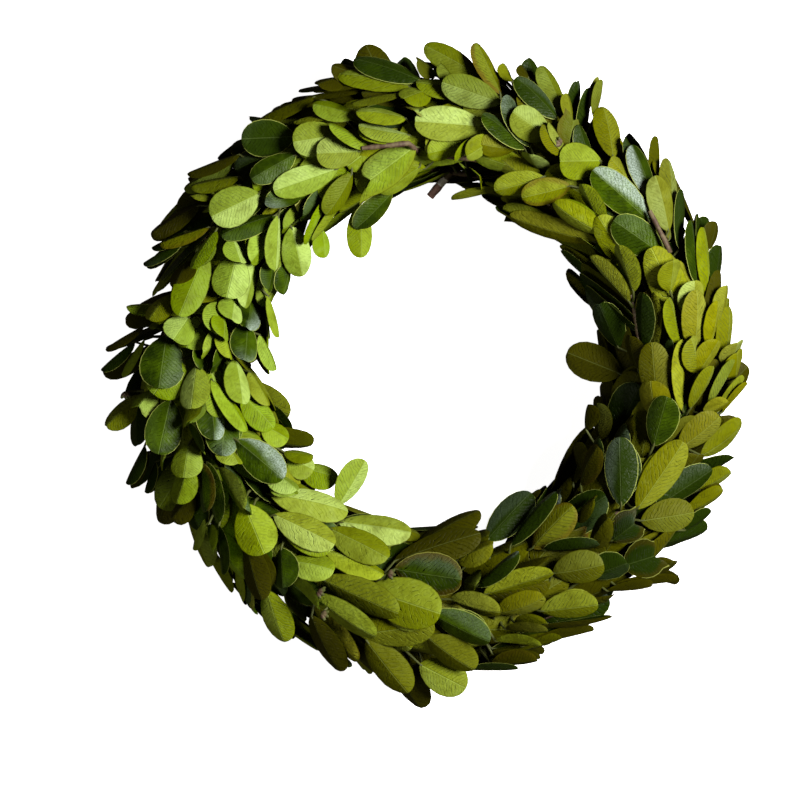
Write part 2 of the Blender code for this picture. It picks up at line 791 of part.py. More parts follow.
def keep_sky_over(twig, thicket):
    """Let nothing grow round the bare end of the twig, nor over it."""
    bare = twig.end.lerp(twig.root, TWIG_BARE)
    thicket.add_rods([bare, bare + SKY], TWIG_RADIUS, "")
    thicket.add_rods([twig.end - SKY, twig.end + SKY], TWIG_CLEAR, "")


def pressed_leaf(sprig):
    """A leaf that comes down from a stem at the back and lies flat on the table."""
    root = stem_point(sprig, PRESSED_SHARE)
    outward, forward = ring_frame(place_of(root)[0])
    run = (forward + outward * PRESSED_OUTWARD).normalized()
    tip = root + run * LEAF_LENGTH
    tip.z = LEAF_THICKNESS / 2
    heel = root + run * PRESSED_STALK
    heel.z = tip.z
    return Leaf(root, tip, Vector((0, 0, -1)), LEAF_WIDTH * PRESSED_WIDTH, 0, heel)


def grow_wreath(sprigs):
    """Every sprig's leaves, each clear of all that grew before it, and the side twig."""
    thicket = Thicket()
    for sprig in sprigs:
        thicket.add_rods(sprig.stops, STEM_RADIUS, sprig.name)
    thicket.add_rods(binding_points(), BINDING_WIRE, "binding_wire")
    twig = grow_twig(from_photo(*TWIG_START), from_photo(*TWIG_END), sprigs, thicket)
    keep_sky_over(twig, thicket)
    for sprig in sprigs[len(FRONT_BUNCH) + PRESSED_PLACE :: 2 * len(FRONT_BUNCH)]:
        thicket.add_leaf(pressed_leaf(sprig), sprig.name)
    for x, y, height, facing in OUTER_TIPS + INNER_TIPS:
        reach_for(from_photo(x, y, height), facing, sprigs, thicket)
    front = [grow_front_leaf(place, sprigs, thicket) for place in FRONT_LEAVES]
    for leaf in filter(None, front):
        keep_in_sight(leaf, thicket)
    for sprig in sprigs:
        draw = Random("leaves of " + sprig.name)
        for share, side in LEAF_PLAN:
            fill_place(sprig, share, side, draw, thicket)
    return thicket.leaves, twig


def fill_place(sprig, share, side, draw, thicket):
    """Grow one leaf of a sprig's plan, or none where the wreath is full."""
    for attempt in range(TRIES):
        leaf = grow_leaf(sprig, share, side, draw, attempt / TRIES)
        if thicket.has_room(leaf, sprig.name):
            thicket.add_leaf(leaf, sprig.name)
            return


def new_object(name, mesh, collection):
    obj = bpy.data.objects.new(name, mesh)
    collection.objects.link(obj)
    return obj


def evaluated_mesh(obj):
    bpy.context.view_layer.update()
    return bpy.data.meshes.new_from_object(obj.evaluated_get(bpy.context.evaluated_depsgraph_get()))


def tube(name, points, radius, collection, taper=None):
    """A tube of four sides along a line of points, as a mesh with its caps welded."""
    curve = bpy.data.curves.new(name, "CURVE")
    curve.dimensions = "3D"
    curve.bevel_depth = radius
    curve.bevel_resolution = 0
    curve.use_fill_caps = True
    spline = curve.splines.new("POLY")
    spline.points.add(len(points) - 1)
    for i, point in enumerate(points):
        spline.points[i].co = (*point, 1)
        spline.points[i].radius = taper[i] if taper else 1
    line = new_object(name + "_line", curve, collection)
    mesh = evaluated_mesh(line)
    bpy.data.objects.remove(line)
    bm = bmesh.new()
    bm.from_mesh(mesh)
    bmesh.ops.remove_doubles(bm, verts=bm.verts, dist=0.01 * MM)
    bmesh.ops.recalc_face_normals(bm, faces=bm.faces)
    bm.to_mesh(mesh)
    bm.free()
    mesh.name = name
    return new_object(name, mesh, collection)


def leaf_object(leaf, name, collection):
    """A leaf's thin skin, which lies half way through it, given its thickness."""
    rim, _ = outline_points(leaf)
    mesh = bpy.data.meshes.new(name)
    mesh.from_pydata(rim, [], leaf_faces(leaf))
    obj = new_object(name, mesh, collection)
    thicken = obj.modifiers.new("thickness", "SOLIDIFY")
    thicken.thickness = LEAF_THICKNESS
    thicken.offset = 0
    thicken.use_even_offset = True


def build_sprig(sprig, leaves, twig, collection):
    """The stem joined to its leaves, and to the side twig where it has it, as one solid."""
    shoots = bpy.data.collections.new(sprig.name + "_shoots")
    bpy.context.scene.collection.children.link(shoots)
    for i, leaf in enumerate(leaves):
        leaf_object(leaf, f"{sprig.name}_leaf_{i}", shoots)
    if twig.owner == sprig.name:
        tube(sprig.name + "_twig", [twig.root, twig.end], TWIG_RADIUS, shoots)
    stem = tube(sprig.name, sprig.stops, STEM_RADIUS, collection, STEM_TAPER)
    join = stem.modifiers.new("shoots", "BOOLEAN")
    join.operation = "UNION"
    join.operand_type = "COLLECTION"
    join.collection = shoots
    join.solver = "MANIFOLD"
    joined = evaluated_mesh(stem)
    stem.modifiers.clear()
    stem.data = joined
    for obj in list(shoots.objects):
        bpy.data.objects.remove(obj)
    bpy.data.collections.remove(shoots)
    return stem


def build_ring(collection):
    bpy.ops.mesh.primitive_torus_add(
        major_radius=RING_RADIUS,
        minor_radius=RING_WIRE,
        major_segments=RING_STEPS,
        minor_segments=RING_SIDES,
        location=RING_CENTRE,
    )
    ring = bpy.context.object
    ring.name = "wire_ring"
    for holder in list(ring.users_collection):
        holder.objects.unlink(ring)
    collection.objects.link(ring)
    return ring


def material(name, colour, roughness, metallic=0.0):
    made = bpy.data.materials.new(name)
    made.use_nodes = True
    shader = made.node_tree.nodes["Principled BSDF"]
    shader.inputs["Base Color"].default_value = (*colour, 1)
    shader.inputs["Roughness"].default_value = roughness
    shader.inputs["Metallic"].default_value = metallic
    return made


def main():
    for obj in list(bpy.data.objects):
        bpy.data.objects.remove(obj)
    wreath = bpy.data.collections.new("boxwood_wreath")
    bpy.context.scene.collection.children.link(wreath)
    steel = material("steel", (0.32, 0.33, 0.34), 0.4, 1.0)
    leaf_colours = {
        "leaf_bright": material("leaf_bright", (0.26, 0.36, 0.04), 0.5),
        "leaf_deep": material("leaf_deep", (0.05, 0.13, 0.04), 0.3),
        "leaf_olive": material("leaf_olive", (0.17, 0.18, 0.03), 0.5),
    }

    build_ring(wreath).data.materials.append(steel)
    tube("binding_wire", binding_points(), BINDING_WIRE, wreath).data.materials.append(steel)
    sprigs = make_sprigs()
    leaves, twig = grow_wreath(sprigs)
    for sprig in sprigs:
        tone = Random("tone of " + sprig.name).choice(TONES)
        build_sprig(sprig, leaves[sprig.name], twig, wreath).data.materials.append(leaf_colours[tone])


main()
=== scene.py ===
"""The looks of a six-inch wreath of preserved boxwood, lying on its back with its front facing up.

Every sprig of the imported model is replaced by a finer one. It has the same stem and the same leaves in the
same places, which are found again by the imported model's own rule, and then the rest of its leaves, packed
between them like shingles. The wire ring and the binding wire are replaced by round ones.

Places round the ring are given by an angle, anticlockwise from the right side of the wreath, a turn round
the ring's own section, where 0 is the outer side, 90 the front, 180 the hole and 270 the back, and a reach,
the distance from the ring's line.
"""

from collections import namedtuple
from itertools import product
from math import acos, cos, pi, radians, sin, sqrt, tan
from random import Random

import bpy
from mathutils import Matrix, Vector
from mathutils.bvhtree import BVHTree


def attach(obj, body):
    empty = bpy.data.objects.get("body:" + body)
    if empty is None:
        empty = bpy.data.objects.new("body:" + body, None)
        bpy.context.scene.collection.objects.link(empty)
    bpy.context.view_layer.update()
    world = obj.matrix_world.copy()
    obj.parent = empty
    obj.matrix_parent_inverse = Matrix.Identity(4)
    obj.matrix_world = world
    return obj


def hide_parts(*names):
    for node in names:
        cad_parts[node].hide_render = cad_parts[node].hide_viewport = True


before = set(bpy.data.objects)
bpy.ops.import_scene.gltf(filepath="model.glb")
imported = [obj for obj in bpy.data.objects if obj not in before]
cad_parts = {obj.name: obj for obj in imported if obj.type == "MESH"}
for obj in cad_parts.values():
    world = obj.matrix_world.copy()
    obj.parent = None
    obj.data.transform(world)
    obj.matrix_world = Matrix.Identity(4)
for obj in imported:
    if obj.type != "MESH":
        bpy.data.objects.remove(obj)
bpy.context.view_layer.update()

MM = 0.001
UP = Vector((0, 0, 1))

# The outline, from the photograph, whose two dimension lines give six inches
WREATH_HEIGHT = 152.4 * MM
WREATH_WIDTH = 147.0 * MM
PHOTO_MIDDLE = (425.5, 377.5)
PHOTO_HEIGHT = 673
PIXEL = WREATH_HEIGHT / PHOTO_HEIGHT

# The wire ring and the wire that binds the bunches to it
RING_RADIUS = 53.4 * MM
RING_CENTRE = Vector((1.9, 2.9, 13.5)) * MM
RING_WIRE = 1.1 * MM
RING_STEPS = 160
BINDING_WIRE = 0.35 * MM
BINDING_RADIUS = 4.4 * MM
BINDING_TURNS = 2
BINDING_STEPS = 6
BINDING_FINE_STEPS = 24
BINDING_SPREAD = (1.2 * MM, 4.8 * MM)
BINDING_RUN = (0.35, 0.62)

# The bunches: where each sprig lies round the ring's own section, in degrees
BUNCHES = 10
FRONT_BUNCH = (90, 162, 18, 306, 234)
TURNED_BUNCH = (54, 126, 342, 198, 270)
FIRST_BUNCH_AT = radians(8)
BETWEEN_SPRIGS = 36

# A sprig's stem: bound beside the ring's wire, then flaring out to where its leaves stand
STEM_LENGTH = 40 * MM
STEM_RADIUS = 0.8 * MM
STEM_STOPS = (0, 0.16, 0.36, 0.62, 1)
STEM_TAPER = (1, 1, 1, 0.95, 0.7)
STEM_DRIFT = radians(9)
BOUND_RADIUS = 2.3 * MM
BOUND_LENGTH = 6 * MM
FLARE_LENGTH = 17 * MM
LEAFY_RADIUS = 9.5 * MM
STEM_ABOVE_TABLE = 5 * MM
REACH_SPREAD = (0.92, 1.12)
STEM_SPREAD = (0.94, 1.06)
SIZE_SPREAD = (0.95, 1.06)

# A leaf: its half outline as shares of its length and of its half width, from the root to the tip
LEAF_LENGTH = 15.5 * MM
LEAF_WIDTH = 8.6 * MM
LEAF_FOLD = radians(13)
LEAF_OUTLINE = ((0, 0), (0.38, 0.96), (0.82, 0.85), (1, 0))
FOLDED_FACES = ((0, 1, 2, 3), (0, 3, 4, 5))

# A leaf that bends where its blade starts: a slope up from the stem and a flat blade
BENT_OUTLINE = ((0, 0), (0.2, 0.75), (0.75, 0.95), (1, 0))
BENT_FACES = ((0, 1, 5), (1, 2, 3, 4, 5))

# Leaves are longest at the lower left of the wreath, where it is also thickest
MEAN_SIZE = 1.06
SIZE_SWELL = 0.15
BIGGEST_AT = radians(255)
CROWN_RADIUS = 17.9 * MM
CROWN_SWELL = 0.045
HOLE_RELIEF = 1.2 * MM
FRONT_DIP = 0.12

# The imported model's leaves of each sprig: how far up the stem, and the splay to each side
LEAF_PLAN = (
    (0.27, -1),
    (0.31, 1),
    (0.55, 1),
    (0.59, -1),
    (0.71, 0),
    (0.82, -1),
    (0.86, 1),
    (0.98, 0),
)
SIDE_SPLAY = radians(33)
FRONT_SPLAY = radians(6)
ROLL = radians(14)
STEEPEST_RISE = 0.72
LEAST_FORWARD = 0.3
LENGTH_SPREAD = (0.86, 1.1)
WIDTH_SPREAD = (0.85, 1.12)
SPLAY_SPREAD = (0.7, 1.2)
CROWN_SPREAD = (0.88, 1.04)
FOLD_SPREAD = (0.5, 1.4)
FOLD_WAYS = (1, 1, -1)

# How much freer a leaf's splay, roll and rise become with each try that finds no room
TRIES = 13
LOOSE_SPLAY = radians(26)
LOOSE_ROLL = radians(30)
LOOSE_DROP = 0.2

# The room that each leaf keeps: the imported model's thick leaves, and the real ones here
Room = namedtuple("Room", "thickness clearance")
SOLID_ROOM = Room(0.6 * MM, 0.2 * MM)
BLADE_ROOM = Room(0.3 * MM, -0.03 * MM)
BLADE_THICKNESS = 0.3 * MM
BLADE_FOLD = radians(12)
LOWEST_LEAF = 0.9 * MM
LOWEST_TIP = 2.2 * MM
SUNK_SHARE = 0.07
ROOTS_APART = 0.3 * MM
SLAB_SIDES = 6

# Leaves that break the outline: tip in the photograph, height in millimetres, turn in degrees and colour
OUTER_TIPS = (
    (403, 59, 16, 40, "K"),
    (366, 44, 14, 15, "N"),
    (344, 58, 10, 50, "K"),
    (527, 58, 13, 45, "K"),
    (602, 78, 14, 78, "B"),
    (661, 136, 14, 72, "B"),
    (711, 219, 12, 55, "K"),
    (722, 245, 12, 62, "K"),
    (730, 299, 14, 66, "B"),
    (749, 367, 12, 30, "N"),
    (740, 420, 10, 50, "N"),
    (709, 531, 8, 55, "K"),
    (677, 586, 6, 72, "N"),
    (610, 600, 12, 15, "D"),
    (543, 658, 6, 70, "O"),
    (440, 660, 9, 10, "N"),
    (395, 650, 9, 10, "N"),
    (417, 713, 9, 45, "N"),
    (247, 600, 6, 60, "K"),
    (218, 562, 7, 60, "K"),
    (193, 550, 8, 70, "O"),
    (155, 522, 8, 30, "N"),
    (144, 492, 7, 60, "K"),
    (127, 485, 7, 65, "K"),
    (102, 370, 8, 60, "N"),
    (105, 348, 7, 70, "K"),
    (122, 318, 10, 50, "N"),
    (112, 295, 9, 66, "O"),
    (119, 301, 7, 60, "N"),
    (143, 263, 8, 70, "K"),
    (150, 235, 9, 66, "N"),
    (178, 219, 8, 45, "N"),
    (187, 175, 10, 68, "N"),
    (249, 114, 10, 75, "K"),
    (292, 96, 11, 55, "N"),
)
INNER_TIPS = (
    (288, 417, 8, 40, "O"),
    (312, 449, 9, 55, "O"),
    (570, 267, 8, 65, "N"),
)
TIP_SPAN = (0.75, 1.35)
TIP_NODES = 20
LOWEST_NODE = 0.3
FORWARD_WORTH = 0.55
TIP_CHOICES = 60
TIP_ROLLS = (0, 15, -15)

# Leaves of the front, in the photograph's pixels: tip, where the leaf goes out of sight, width and colour
FRONT_LEAVES = (
    (356, 230, 392, 193, 24, "D"),
    (566, 352, 620, 374, 38, "N"),
    (242, 140, 295, 138, 38, "D"),
    (338, 73, 411, 88, 22, "B"),
    (425, 45, 478, 75, 26, "B"),
    (477, 42, 500, 95, 18, "B"),
    (542, 65, 563, 116, 20, "B"),
    (603, 106, 612, 158, 26, "B"),
    (672, 157, 668, 240, 20, "P"),
    (745, 424, 700, 455, 22, "B"),
    (731, 472, 700, 490, 18, "B"),
    (466, 688, 420, 664, 36, "B"),
    (339, 673, 312, 615, 26, "N"),
    (284, 643, 268, 590, 30, "B"),
    (106, 427, 140, 395, 24, "O"),
    (361, 258, 360, 205, 26, "B"),
    (303, 277, 292, 228, 30, "P"),
    (365, 460, 338, 505, 26, "P"),
    (411, 531, 340, 522, 30, "P"),
    (479, 509, 415, 545, 22, "O"),
    (531, 492, 487, 540, 34, "D"),
    (596, 403, 600, 440, 19, "P"),
    (354, 60, 420, 82, 26, "D"),
    (314, 105, 356, 117, 20, "B"),
    (352, 105, 402, 95, 13, "O"),
    (357, 112, 406, 120, 22, "B"),
    (359, 128, 410, 137, 20, "P"),
    (294, 144, 340, 136, 36, "P"),
    (318, 155, 360, 153, 33, "P"),
    (330, 126, 370, 150, 14, "B"),
    (276, 192, 338, 170, 30, "P"),
    (360, 189, 415, 148, 37, "C"),
    (381, 194, 420, 167, 18, "O"),
    (327, 216, 352, 175, 22, "O"),
    (306, 246, 328, 196, 7, "B"),
    (315, 243, 332, 198, 6, "O"),
    (293, 121, 340, 112, 12, "O"),
    (404, 100, 430, 90, 24, "B"),
    (416, 123, 484, 128, 36, "P"),
    (414, 113, 480, 108, 20, "P"),
    (442, 84, 500, 104, 32, "P"),
    (440, 64, 455, 85, 12, "B"),
    (503, 63, 512, 82, 10, "B"),
    (516, 78, 556, 120, 22, "D"),
    (484, 115, 524, 150, 18, "D"),
    (505, 97, 530, 148, 24, "S"),
    (512, 114, 550, 140, 34, "P"),
    (428, 155, 462, 146, 21, "B"),
    (454, 163, 478, 140, 14, "B"),
    (466, 158, 492, 140, 24, "B"),
    (480, 146, 515, 150, 22, "O"),
    (479, 177, 526, 155, 27, "B"),
    (494, 192, 542, 178, 23, "B"),
    (521, 199, 569, 187, 27, "B"),
    (452, 203, 500, 190, 12, "O"),
    (508, 218, 596, 243, 22, "O"),
    (560, 163, 600, 162, 38, "B"),
    (592, 172, 648, 222, 34, "S"),
    (610, 160, 634, 190, 20, "B"),
    (631, 146, 652, 200, 22, "S"),
    (655, 177, 667, 232, 22, "P"),
    (580, 186, 602, 228, 16, "B"),
    (552, 207, 606, 236, 22, "B"),
    (613, 222, 662, 256, 36, "D"),
    (616, 247, 632, 292, 20, "B"),
    (589, 257, 628, 302, 20, "P"),
    (650, 250, 652, 300, 38, "B"),
    (672, 262, 668, 292, 16, "B"),
    (704, 227, 707, 296, 14, "B"),
    (689, 221, 695, 284, 12, "D"),
    (693, 282, 690, 320, 26, "P"),
    (695, 291, 692, 350, 26, "B"),
    (694, 320, 696, 352, 18, "B"),
    (718, 302, 708, 348, 20, "B"),
    (726, 286, 718, 322, 8, "B"),
    (689, 339, 697, 372, 16, "B"),
    (717, 341, 696, 374, 20, "B"),
    (680, 340, 681, 410, 19, "B"),
    (668, 299, 679, 345, 20, "B"),
    (657, 301, 664, 345, 18, "O"),
    (652, 294, 662, 312, 14, "B"),
    (640, 294, 641, 348, 24, "K"),
    (598, 304, 618, 348, 28, "K"),
    (622, 330, 655, 340, 16, "O"),
    (627, 337, 637, 370, 18, "N"),
    (664, 337, 668, 398, 24, "D"),
    (650, 343, 656, 405, 30, "O"),
    (648, 382, 655, 420, 26, "O"),
    (712, 367, 689, 408, 13, "B"),
    (735, 361, 707, 407, 14, "P"),
    (737, 343, 728, 365, 18, "P"),
    (737, 353, 735, 378, 14, "B"),
    (747, 380, 716, 413, 16, "B"),
    (727, 402, 702, 415, 14, "B"),
    (719, 417, 678, 448, 28, "B"),
    (694, 417, 656, 450, 15, "B"),
    (665, 397, 652, 445, 30, "D"),
    (674, 411, 652, 440, 20, "D"),
    (574, 444, 583, 472, 14, "B"),
    (618, 437, 620, 505, 34, "D"),
    (682, 442, 636, 508, 34, "B"),
    (697, 455, 680, 475, 16, "O"),
    (712, 470, 655, 506, 22, "D"),
    (724, 492, 686, 512, 22, "B"),
    (693, 512, 640, 520, 34, "B"),
    (660, 553, 622, 565, 40, "T"),
    (637, 520, 610, 540, 34, "T"),
    (673, 561, 650, 578, 20, "N"),
    (606, 516, 588, 545, 22, "O"),
    (622, 524, 598, 552, 28, "B"),
    (626, 562, 588, 575, 30, "D"),
    (593, 498, 574, 516, 12, "B"),
    (571, 505, 532, 547, 32, "B"),
    (556, 491, 512, 546, 14, "S"),
    (597, 544, 543, 549, 14, "D"),
    (602, 563, 552, 572, 34, "B"),
    (548, 553, 508, 567, 14, "O"),
    (552, 573, 484, 593, 28, "B"),
    (543, 598, 497, 612, 24, "O"),
    (517, 550, 477, 585, 20, "S"),
    (492, 543, 457, 560, 20, "B"),
    (488, 534, 463, 546, 14, "B"),
    (480, 532, 395, 560, 26, "O"),
    (461, 578, 395, 568, 44, "D"),
    (471, 583, 430, 560, 34, "B"),
    (498, 613, 450, 598, 28, "B"),
    (489, 640, 432, 612, 30, "D"),
    (440, 612, 368, 588, 50, "B"),
    (547, 631, 505, 628, 10, "B"),
    (541, 645, 495, 640, 9, "B"),
    (540, 660, 492, 653, 9, "O"),
    (597, 604, 540, 610, 28, "B"),
    (612, 619, 535, 626, 8, "O"),
    (349, 510, 272, 494, 30, "P"),
    (335, 543, 275, 514, 32, "P"),
    (388, 556, 330, 528, 32, "B"),
    (334, 568, 288, 560, 28, "B"),
    (384, 573, 328, 550, 20, "B"),
    (405, 604, 332, 566, 30, "B"),
    (398, 613, 322, 578, 26, "O"),
    (374, 637, 314, 594, 24, "B"),
    (408, 694, 367, 640, 34, "O"),
    (265, 552, 245, 503, 42, "B"),
    (283, 586, 282, 547, 32, "D"),
    (319, 607, 293, 580, 11, "B"),
    (355, 660, 310, 612, 20, "O"),
    (298, 488, 268, 470, 18, "P"),
    (284, 478, 238, 440, 36, "S"),
    (314, 470, 288, 458, 26, "P"),
    (289, 439, 262, 425, 18, "B"),
    (275, 427, 243, 395, 26, "B"),
    (249, 430, 213, 380, 16, "B"),
    (217, 439, 210, 392, 28, "S"),
    (224, 455, 226, 400, 36, "S"),
    (240, 462, 222, 440, 14, "B"),
    (160, 454, 172, 400, 38, "D"),
    (188, 422, 192, 403, 22, "O"),
    (185, 477, 190, 444, 32, "B"),
    (178, 503, 190, 465, 26, "B"),
    (205, 511, 203, 463, 22, "D"),
    (219, 522, 208, 462, 22, "D"),
    (245, 508, 220, 468, 16, "B"),
    (254, 509, 233, 464, 18, "D"),
    (262, 599, 247, 540, 30, "N"),
    (213, 550, 209, 525, 9, "B"),
    (224, 574, 220, 525, 10, "D"),
    (181, 316, 207, 252, 34, "B"),
    (228, 298, 238, 255, 38, "P"),
    (246, 308, 255, 262, 18, "P"),
    (233, 320, 236, 298, 26, "P"),
    (250, 324, 260, 285, 24, "S"),
    (246, 360, 248, 322, 28, "S"),
    (216, 332, 220, 303, 22, "P"),
    (175, 340, 190, 318, 34, "P"),
    (188, 347, 200, 328, 24, "B"),
    (161, 387, 168, 336, 46, "D"),
    (155, 394, 182, 360, 44, "B"),
    (208, 354, 210, 332, 14, "B"),
    (216, 367, 218, 330, 16, "D"),
    (203, 371, 206, 350, 20, "D"),
    (193, 409, 198, 366, 30, "P"),
    (243, 404, 236, 360, 24, "P"),
    (232, 358, 222, 330, 12, "B"),
    (137, 410, 152, 390, 26, "C"),
    (127, 306, 165, 280, 6, "B"),
    (121, 375, 145, 340, 6, "B"),
    (253, 180, 296, 156, 24, "D"),
    (267, 203, 310, 195, 18, "S"),
    (213, 218, 260, 195, 40, "P"),
    (222, 234, 276, 216, 22, "D"),
    (242, 263, 234, 240, 14, "P"),
    (255, 262, 268, 228, 20, "B"),
    (277, 271, 279, 217, 15, "P"),
    (192, 268, 217, 232, 14, "B"),
    (284, 295, 290, 262, 16, "D"),
    (270, 290, 273, 262, 14, "D"),
    (160, 243, 210, 228, 12, "O"),
    (192, 187, 240, 178, 14, "O"),
    (192, 197, 215, 193, 8, "O"),
    (213, 195, 240, 186, 14, "O"),
    (325, 258, 322, 230, 18, "B"),
    (580, 82, 590, 116, 14, "K"),
    (566, 94, 571, 122, 6, "B"),
    (574, 116, 567, 148, 22, "C"),
    (541, 128, 560, 156, 8, "O"),
    (548, 124, 566, 152, 8, "B"),
    (579, 126, 588, 150, 14, "D"),
    (626, 139, 634, 180, 12, "D"),
    (528, 158, 564, 152, 14, "P"),
    (516, 168, 556, 166, 8, "D"),
    (338, 478, 300, 468, 20, "B"),
    (733, 458, 708, 474, 15, "K"),
    (474, 670, 428, 636, 32, "O"),
    (172, 283, 188, 262, 14, "O"),
    (150, 320, 172, 295, 22, "O"),
    (281, 337, 268, 296, 6, "B"),
    (277, 370, 260, 335, 12, "B"),
    (225, 338, 224, 315, 16, "B"),
    (205, 452, 190, 425, 12, "D"),
    (190, 422, 198, 400, 16, "B"),
    (176, 405, 170, 380, 14, "S"),
    (148, 386, 145, 365, 14, "O"),
    (163, 461, 163, 448, 8, "B"),
    (198, 528, 192, 490, 18, "K"),
    (172, 519, 195, 495, 16, "N"),
    (291, 294, 284, 262, 14, "K"),
    (178, 284, 190, 262, 16, "N"),
    (165, 322, 180, 290, 22, "O"),
    (240, 395, 226, 350, 16, "B"),
    (222, 416, 212, 372, 14, "B"),
    (270, 405, 250, 372, 14, "O"),
)

# Thin leaves of the outline that only the real blades have room for, read in the same way
THIN_LEAVES = (
    (684, 190, 678, 250, 12, "K"),
    (697, 214, 698, 260, 5, "K"),
    (591, 89, 598, 108, 8, "K"),
    (520, 65, 528, 78, 10, "O"),
    (332, 66, 370, 80, 16, "N"),
    (318, 85, 345, 78, 10, "N"),
    (354, 662, 320, 615, 10, "O"),
    (348, 668, 335, 650, 10, "N"),
    (380, 672, 355, 655, 12, "N"),
    (150, 234, 200, 206, 12, "N"),
    (152, 248, 186, 232, 8, "K"),
    (144, 264, 182, 246, 9, "K"),
    (105, 348, 145, 326, 8, "N"),
    (101, 370, 135, 342, 10, "K"),
    (188, 175, 240, 155, 12, "N"),
    (137, 445, 140, 400, 20, "K"),
    (144, 492, 156, 462, 9, "K"),
    (131, 488, 148, 452, 8, "N"),
    (193, 549, 204, 515, 9, "B"),
    (552, 489, 510, 545, 22, "S"),
    (676, 582, 614, 584, 8, "N"),
    (652, 588, 606, 590, 8, "N"),
    (597, 438, 585, 476, 14, "K"),
    (595, 446, 580, 484, 12, "N"),
    (126, 484, 145, 446, 12, "K"),
    (418, 60, 436, 74, 14, "O"),
    (603, 80, 594, 118, 9, "B"),
    (722, 486, 690, 516, 14, "O"),
    (712, 512, 684, 530, 12, "K"),
    (537, 660, 492, 664, 9, "N"),
    (518, 670, 470, 668, 8, "K"),
    (716, 222, 708, 250, 11, "N"),
    (588, 404, 586, 430, 14, "N"),
    (314, 456, 284, 452, 14, "O"),
    (748, 384, 722, 412, 12, "B"),
)

# Shoots and buds that show between the leaves: where they start and end, and where the buds sit
SHOOTS = ((668, 252, 648, 212), (408, 145, 362, 150))
SHOOT_DIP = 1.5 * MM
SHOOT_RADII = (0.7, 0.62, 0.72, 0.55, 0.65, 0.5)
BUDS = ((388, 572), (318, 590), (322, 612), (560, 146), (126, 392))
BUD_RADII = (0.3, 0.5, 0.56, 0.46, 0.25)
BUD_LENGTH = 1.9 * MM
BUD_TURNS = (-40, 0, 40)
BUD_RISE = UP * 0.5

# How a leaf of the front may grow: its span and its stalk's, its lifts in millimetres, its rolls in degrees
FRONT_SPAN = (0.68, 1.3)
FRONT_AIM = 7
FRONT_NODES = 14
BLADE_DIP = 4.2 * MM
STALK_SPAN = (1.5 * MM, 11 * MM)
STALK_AIM = 0.4
FRONT_LIFTS = (0, -0.8, 0.8, -1.6, 1.6, -2.6)
FRONT_ROLLS = (0, 12, -12)
NARROWEST = 0.8
FLATTEST_CROWN = 4 * MM

# The cut end of a side twig that stands into the hole at its top
TWIG_END = (430, 196, 9)
TWIG_START = (450, 172, 9)
TWIG_REACH = (6 * MM, 14 * MM)
TWIG_RADIUS = 0.9 * MM
TWIG_BARE = 0.45
TWIG_CLEAR = 2 * MM

# How much stays open over the twig and over the leaves of the front
SKY = UP * 18 * MM
SIGHT_FROM = UP * 1.2 * MM
SIGHT_SHARES = (0.4, 0.8)
SIGHT_WIDTH = 0.25

# Leaves pressed flat on the table, on which the wreath rests: one on the back sprig of each turned bunch
PRESSED_PLACE = 4
PRESSED_SHARE = 0.62
PRESSED_STALK = 3 * MM
PRESSED_OUTWARD = 0.24
PRESSED_WIDTH = 1.1

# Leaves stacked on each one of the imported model, up and down its stem
STACK_STEPS = (0.055, -0.055, 0.11, -0.11)
STACK_TRIES = 5
STACK_TURN = radians(10)
STACK_LENGTH = (0.86, 1.06)
UNDER_LENGTH = (0.68, 0.84)
UNDER_DROP = 0.6 * MM
BAND = 12.5 * MM
UNDER_TONES = {"P": "B", "S": "D", "C": "B", "T": "O"}
SHARE_STEPS = 50

# Leaves that fill each stem, near the crown and then inside: kind, places tried and shares of the reach
FILLS = (("other", 42, (0.7, 0.97)), ("inner", 18, (0.42, 0.68)))
FILL_FROM = 0.16
FILL_SIDES = (-1, 1, 0)
FILL_TRIES = 14
FLAT_LENGTH = (0.84, 1.08)
FLAT_RISE = (1.5 * MM, 5 * MM)
FLAT_ASIDE = (0.0, 0.6)
FLAT_AHEAD = (0, 4 * MM)
FLAT_SPLAY = radians(24)

# The colours of the sprigs' other leaves, drawn with these odds
TONES = ("leaf_bright",) * 6 + ("leaf_deep",) * 3 + ("leaf_olive",)

Sprig = namedtuple("Sprig", "name size stops")
Leaf = namedtuple("Leaf", "root tip normal width fold heel tone", defaults=("",))
Twig = namedtuple("Twig", "owner root end")


def ring_frame(angle):
    """The outward and the anticlockwise direction at an angle round the wreath."""
    return Vector((cos(angle), sin(angle), 0)), Vector((-sin(angle), cos(angle), 0))


def section_normal(angle, turn):
    """The direction away from the ring's line."""
    outward, _ = ring_frame(angle)
    return outward * cos(turn) + Vector((0, 0, sin(turn)))


def ring_point(angle, turn, reach):
    outward, _ = ring_frame(angle)
    return RING_CENTRE + outward * RING_RADIUS + section_normal(angle, turn) * reach


def place_of(point):
    """The angle, the turn and the reach of a point."""
    flat = Vector((point.x - RING_CENTRE.x, point.y - RING_CENTRE.y))
    section = Vector((flat.length - RING_RADIUS, point.z - RING_CENTRE.z))
    right = Vector((1, 0))
    return -right.angle_signed(flat), -right.angle_signed(section), section.length


def from_photo(x, y, height):
    """The point over a pixel of the photograph, at a height in millimetres above the table."""
    return Vector(((x - PHOTO_MIDDLE[0]) * PIXEL, (PHOTO_MIDDLE[1] - y) * PIXEL, height * MM))


def reach_above_table(turn, reach, height):
    """The reach, cut short where it would come lower than a height above the table."""
    down = max(-sin(turn), 0)
    return reach if reach * down < RING_CENTRE.z - height else (RING_CENTRE.z - height) / down


def smooth(t):
    t = min(max(t, 0), 1)
    return t * t * (3 - 2 * t)


def leaf_size(angle):
    return MEAN_SIZE + SIZE_SWELL * cos(angle - BIGGEST_AT)


def crown_reach(angle, turn):
    """How far the tips of the leaves stand from the ring's line."""
    return CROWN_RADIUS * (1 + CROWN_SWELL * cos(angle - BIGGEST_AT)) - HOLE_RELIEF * max(-cos(turn), 0)


